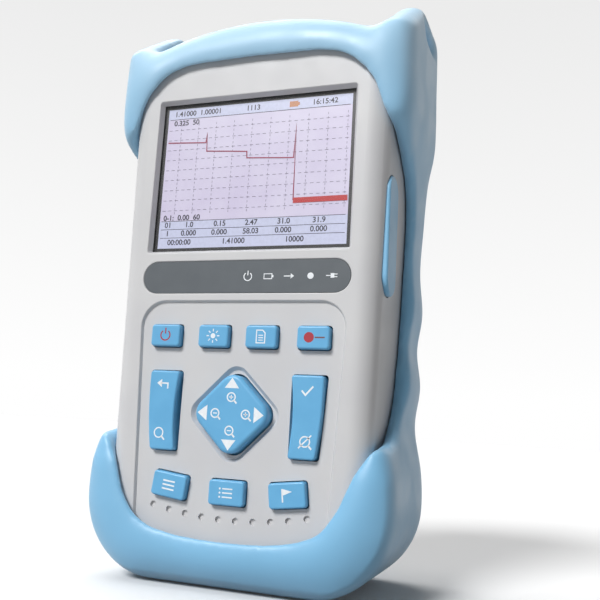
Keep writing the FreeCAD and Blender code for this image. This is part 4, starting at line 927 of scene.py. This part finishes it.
def file_mark():
    """A page with a folded corner and three lines."""
    page = [(-1.5, -2.1), (1.5, -2.1), (1.5, 1.2), (0.6, 2.1), (-1.5, 2.1)]
    lines = [band([(-0.8, level), (0.8, level)], 0.3) for level in (-1.2, -0.4, 0.4)]
    return [band(page, 0.36, closed=True)] + lines


def escape_marks():
    """A way back above and a lens below."""
    back = [band([(1.7, -1.1), (1.7, 0.7), (-0.9, 0.7)], 0.5), moved(arrow_head(1.8, 180), -1.5, 0.7)]
    return [moved(joined(back), 0, 8.2), moved(lens(1.6), -0.3, -7.6)]


def enter_marks():
    """A tick above and a struck-out lens below."""
    tick = band([(-1.9, 0.1), (-0.6, -1.3), (1.9, 1.5)], 0.55)
    return [moved(tick, 0, 8.2), moved(lens(1.6, "slash"), 0, -7.6)]


def menu_mark():
    """Three lines."""
    return [band([(-2.2, level), (2.2, level)], 0.5) for level in (-1.3, 0, 1.3)]


def info_mark():
    """A list with a spot before each line."""
    shapes = []
    for level in (-1.3, 0, 1.3):
        shapes += [moved(disc(0.32), -2.1, level), band([(-1.2, level), (2.3, level)], 0.42)]
    return shapes


def marker_mark():
    """A flag on its pole."""
    return [band([(-1.4, -2), (-1.4, 2.1)], 0.45), slab([(-1.2, 2.1), (1.9, 1.1), (-1.2, 0.1)])]


def pad_marks():
    """Four arrows in the corners and four lenses nearer the middle."""
    shapes = []
    for turn, sign in ((0, "plus"), (90, "plus"), (180, "minus"), (270, "minus")):
        angle = np.radians(turn)
        way = np.array((np.cos(angle), np.sin(angle)))
        shapes.append(moved(arrow_head(3.4, turn), *(way * 10.0)))
        shapes.append(moved(lens(1.4, sign), *(way * 5.4)))
    return shapes


print("the pad's marks are", len(pad_marks()), "shapes")

# %% [markdown]
# ## Printing the marks
#
# A mark lies on the highest face of its key, in the middle. The two outer keys of the lowest row are turned
# a little, and their marks turn with them. Each mark rides on its own key, so it goes in when the key is
# pressed.

# %% Printed keys
KEY_TILT = 7.0
KEY_MARKS = {
    "power_key": (power_mark, RED_INK, 0.0),
    "source_key": (source_mark, WHITE_INK, 0.0),
    "file_key": (file_mark, WHITE_INK, 0.0),
    "escape_key": (escape_marks, WHITE_INK, 0.0),
    "enter_key": (enter_marks, WHITE_INK, 0.0),
    "menu_key": (menu_mark, WHITE_INK, -KEY_TILT),
    "info_key": (info_mark, WHITE_INK, 0.0),
    "marker_key": (marker_mark, WHITE_INK, KEY_TILT),
    "nav_pad": (pad_marks, WHITE_INK, 0.0),
}


def mark_key(key, shapes, finish, turn, suffix="_mark"):
    """Print a mark on the middle of a key's top."""
    low, high = edges_of(key)
    middle = (low + high) / 2
    placed = [moved(joined(shapes), middle[0], middle[2], turn)]
    print_on_face(key + suffix, placed, low[1], key, finish)


for key, (draw, finish, turn) in KEY_MARKS.items():
    mark_key(key, draw(), finish, turn)
mark_key("fault_key", [moved(disc(1.7), -1.4, 0)], RED_INK, 0.0, "_spot")
mark_key("fault_key", [band([(0.6, 0), (3.9, 0)], 0.45)], BROWN_INK, 0.0, "_beam")
print("marks on", len(KEY_MARKS) + 1, "keys")

# %% [markdown]
# ## The two tall keys
#
# The long sides of these keys follow a circle round the pad. The solid has straight sides, so each key is
# made again from a merged copy. A straight side has no points that could bend, so the copy is sliced into
# rows first, and then every row slides sideways in its own plane. No side moves outwards, so the key still
# fits its opening. Weighted normals keep the flat top flat and the small edge rounds soft.

# %% Tall keys
KEY_ROWS = 24
CAP_DEPTH = 0.9
WAIST = 1.1
SHOULDER = 0.6


def slice_rows(data, bottom, top):
    """Cut the mesh at even levels, so that each long side has points to bend at."""
    work = bmesh.new()
    work.from_mesh(data)
    for level in np.linspace(bottom, top, KEY_ROWS + 2)[1:-1]:
        everything = work.verts[:] + work.edges[:] + work.faces[:]
        cut = {"plane_co": (0, 0, level * MM), "plane_no": (0, 0, 1)}
        bmesh.ops.bisect_plane(work, geom=everything, dist=1e-8, **cut)
    bmesh.ops.triangulate(work, faces=work.faces[:])
    work.to_mesh(data)
    work.free()


def bow_key(key):
    """With t from -1 to 1 up the key, the side towards the pad draws back by the waist times 1 - t*t, and the
    far side draws in at its ends by the shoulder times t*t. Points between the sides move in proportion."""
    piece = merged_copy(key, key + "_bowed")
    points = read_points(piece.data)
    cap = points[points[:, 1] < points[:, 1].min() + CAP_DEPTH]
    (left, _, bottom), (right, _, top) = cap.min(0), cap.max(0)
    slice_rows(piece.data, bottom, top)
    points = read_points(piece.data)
    to_pad = -np.sign(left + right)
    share = np.clip((points[:, 0] - left) / (right - left), 0, 1)
    share = share if to_pad > 0 else 1 - share
    along = np.clip((points[:, 2] * 2 - bottom - top) / (top - bottom), -1, 1) ** 2
    points[:, 0] += to_pad * (SHOULDER * along * (1 - share) - WAIST * (1 - along) * share)
    write_points(piece.data, points)
    piece.data.materials.clear()
    piece.data.materials.append(FINISHES["key_rubber"])
    piece.data.shade_smooth()
    piece.modifiers.new("weighted", "WEIGHTED_NORMAL")
    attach(piece, key)
    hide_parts(key)
    print(key, "cap", round(float(right - left), 2), "by", round(float(top - bottom), 2), "mm, bowed")


for key in ("escape_key", "enter_key"):
    bow_key(key)

# %% [markdown]
# ## Signs on the strip
#
# The dark strip under the display has five small pale signs at its right end: power, battery, laser, lamp
# and plug. Its left end stays bare.

# %% Strip signs
SIGN_PITCH = 7.4
SIGN_MARGIN = 6.2
SIGN_SCALE = 0.8


def battery_sign():
    """A battery with its cap."""
    return [band([(-1.9, -1.05), (1.6, -1.05), (1.6, 1.05), (-1.9, 1.05)], 0.34, closed=True),
            slab([(1.75, -0.5), (2.3, -0.5), (2.3, 0.5), (1.75, 0.5)])]


def laser_sign():
    """A short beam with an arrow head."""
    return [band([(-2.3, 0), (0.8, 0)], 0.4), moved(arrow_head(1.5), 1.4, 0)]


def plug_sign():
    """A lead that ends in a two-pin plug."""
    body = slab([(-0.7, -0.95), (0.9, -0.95), (0.9, 0.95), (-0.7, 0.95)])
    pins = [band([(0.9, level), (2.2, level)], 0.36) for level in (-0.55, 0.55)]
    return [band([(-2.6, 0), (-0.6, 0)], 0.36), body] + pins


def strip_signs():
    """Five signs in a row that ends near the strip's right end."""
    low, high = edges_of("label_strip")
    level = (low[2] + high[2]) / 2
    signs = [power_mark(), battery_sign(), laser_sign(), [disc(1.35)], plug_sign()]
    start = high[0] - SIGN_MARGIN - SIGN_PITCH * (len(signs) - 1)
    placed = []
    for index, shapes in enumerate(signs):
        points, faces = joined(shapes)
        small = points * (SIGN_SCALE, SIGN_SCALE, 1)
        placed.append(moved((small, faces), start + SIGN_PITCH * index, level))
    print_on_face("strip_signs", placed, low[1], "housing", WHITE_INK)
    print("signs on the strip:", len(signs))


strip_signs()

# %% [markdown]
# ## The picture on the display: places
#
# A test trace falls in steps from left to right over a dashed grid, between a header and a table of
# figures. Every place is a share of the picture's width and height, so the drawing could go on a display of
# any size.

# %% Places in the picture
VIEW_WIDTH = 70.08
VIEW_HEIGHT = 52.56
VIEW_BOTTOM = 113.0
TRACE = [
    (0.01, 0.757), (0.228, 0.74), (0.232, 0.805), (0.236, 0.678), (0.37, 0.665), (0.46, 0.655),
    (0.463, 0.61), (0.70, 0.59), (0.712, 0.59), (0.718, 0.82), (0.722, 0.3),
]
FLOOR_BAR = [(0.722, 0.298), (0.995, 0.3)]


def at(across, upward):
    """A place in the picture, from shares of its width and height to millimetres on the face."""
    return ((across - 0.5) * VIEW_WIDTH, VIEW_BOTTOM + upward * VIEW_HEIGHT)


def patch(left, right, bottom, top):
    """A filled rectangle of the picture."""
    return slab([at(left, bottom), at(right, bottom), at(right, top), at(left, top)])


def line(points, width):
    """A line through places in the picture."""
    return band([at(*point) for point in points], width)


def grid_dashes():
    """Dashes along ten upright and nine level lines, each dash about half a step long."""
    shapes = []
    for across in np.linspace(0.08, 0.98, 10):
        for level in np.linspace(0.24, 0.87, 22):
            shapes.append(line([(across, level), (across, level + 0.015)], 0.14))
    for level in np.linspace(0.265, 0.845, 9):
        for across in np.linspace(0.01, 0.97, 30):
            shapes.append(line([(across, level), (across + 0.018, level)], 0.16))
    return shapes


print("picture", VIEW_WIDTH, "by", VIEW_HEIGHT, "mm, trace of", len(TRACE), "points")

# %% [markdown]
# ## The picture on the display: figures
#
# The header has two settings, a count and a clock. The table below has rows of readings. All are plain
# numbers.

# %% Figures in the picture
FIGURES = 2.7
HEADINGS = [
    ("1.41000  1.00001", 0.035, 0.962, "LEFT"),
    ("1113", 0.48, 0.962, "CENTER"),
    ("16:15:42", 0.86, 0.962, "CENTER"),
    ("0.325  50", 0.035, 0.895, "LEFT"),
    ("0-1:  0.00  60", 0.02, 0.212, "LEFT"),
]
COLUMNS = (0.05, 0.17, 0.34, 0.51, 0.68, 0.86)
TABLE = [
    (0.162, COLUMNS, ("01", "1.0", "0.15", "2.47", "31.0", "31.9")),
    (0.103, COLUMNS, ("1", "0.000", "0.000", "58.03", "0.000", "0.000")),
    (0.04, (0.12, 0.42, 0.74), ("00:00:00", "1.41000", "10000")),
]


def picture_figures():
    """The headings at their places, and each row of the table at its level."""
    shapes = [numerals(text, FIGURES, *at(*place), align=align) for text, *place, align in HEADINGS]
    for level, places, texts in TABLE:
        shapes += [numerals(text, FIGURES, *at(across, level)) for across, text in zip(places, texts)]
    return shapes


print("rows of figures:", len(TABLE))

# %% [markdown]
# ## The picture on the display: layers
#
# The layers are thin shapes on the panel, just behind the clear window. Each is lifted a little above the
# one that it covers, because two faces in one plane would flicker. A black border fills the space between
# the picture and the edge of the window.

# %% Layers of the picture
LIFT = 0.03


def border_line(margin):
    """A closed band round the picture, as wide as the margin, whose path runs along the margin's middle."""
    side = VIEW_WIDTH / 2 + margin / 2
    bottom = VIEW_BOTTOM - margin / 2
    top = VIEW_BOTTOM + VIEW_HEIGHT + margin / 2
    return band([(-side, bottom), (side, bottom), (side, top), (-side, top)], margin, closed=True)


def build_picture():
    """All layers, each with its name, the number of lifts, its shapes, its slot and its finish."""
    panel = edges_of("display_panel")[0][1]
    margin = edges_of("display_window")[1][0] - VIEW_WIDTH / 2
    black = ink("border_ink", srgb(10, 10, 13), 0.4)
    blue = ink("header_tint", srgb(203, 207, 233))
    grey = ink("grid_tint", srgb(128, 120, 146))
    amber = ink("cell_tint", srgb(190, 128, 84))
    dark = ink("figure_tint", srgb(44, 42, 62))
    wine = ink("trace_tint", srgb(150, 52, 84))
    red = ink("bar_tint", srgb(184, 40, 44))
    header, table = patch(0, 1, 0.925, 1), patch(0, 1, 0, 0.19)
    cell = [patch(0.675, 0.72, 0.943, 0.982), patch(0.72, 0.728, 0.952, 0.973)]
    rules = [line([(0.01, level), (0.99, level)], 0.18) for level in (0.19, 0.132, 0.073, 0.925)]
    layers = [
        ("display_border", 0, [border_line(margin)], "black_plastic", black),
        ("picture_ground", 0, [patch(0, 1, 0, 1)], "display_face", FINISHES["display_face"]),
        ("picture_bands", 1, [header, table], "display_face", blue),
        ("picture_grid", 2, grid_dashes(), "display_face", grey),
        ("picture_cell", 2, cell, "display_face", amber),
        ("picture_rules", 2, rules, "display_face", dark),
        ("picture_figures", 2, picture_figures(), "display_face", dark),
        ("picture_trace", 3, [line(TRACE, 0.42)], "display_face", wine),
        ("picture_bar", 4, [line(FLOOR_BAR, 1.9)], "display_face", red),
    ]
    for name, lifts, shapes, slot, finish in layers:
        print_on_face(name, shapes, panel - LIFT * lifts, "housing", finish)
    print("picture of", len(layers), "layers at depth", round(panel, 2), "mm")


build_picture()
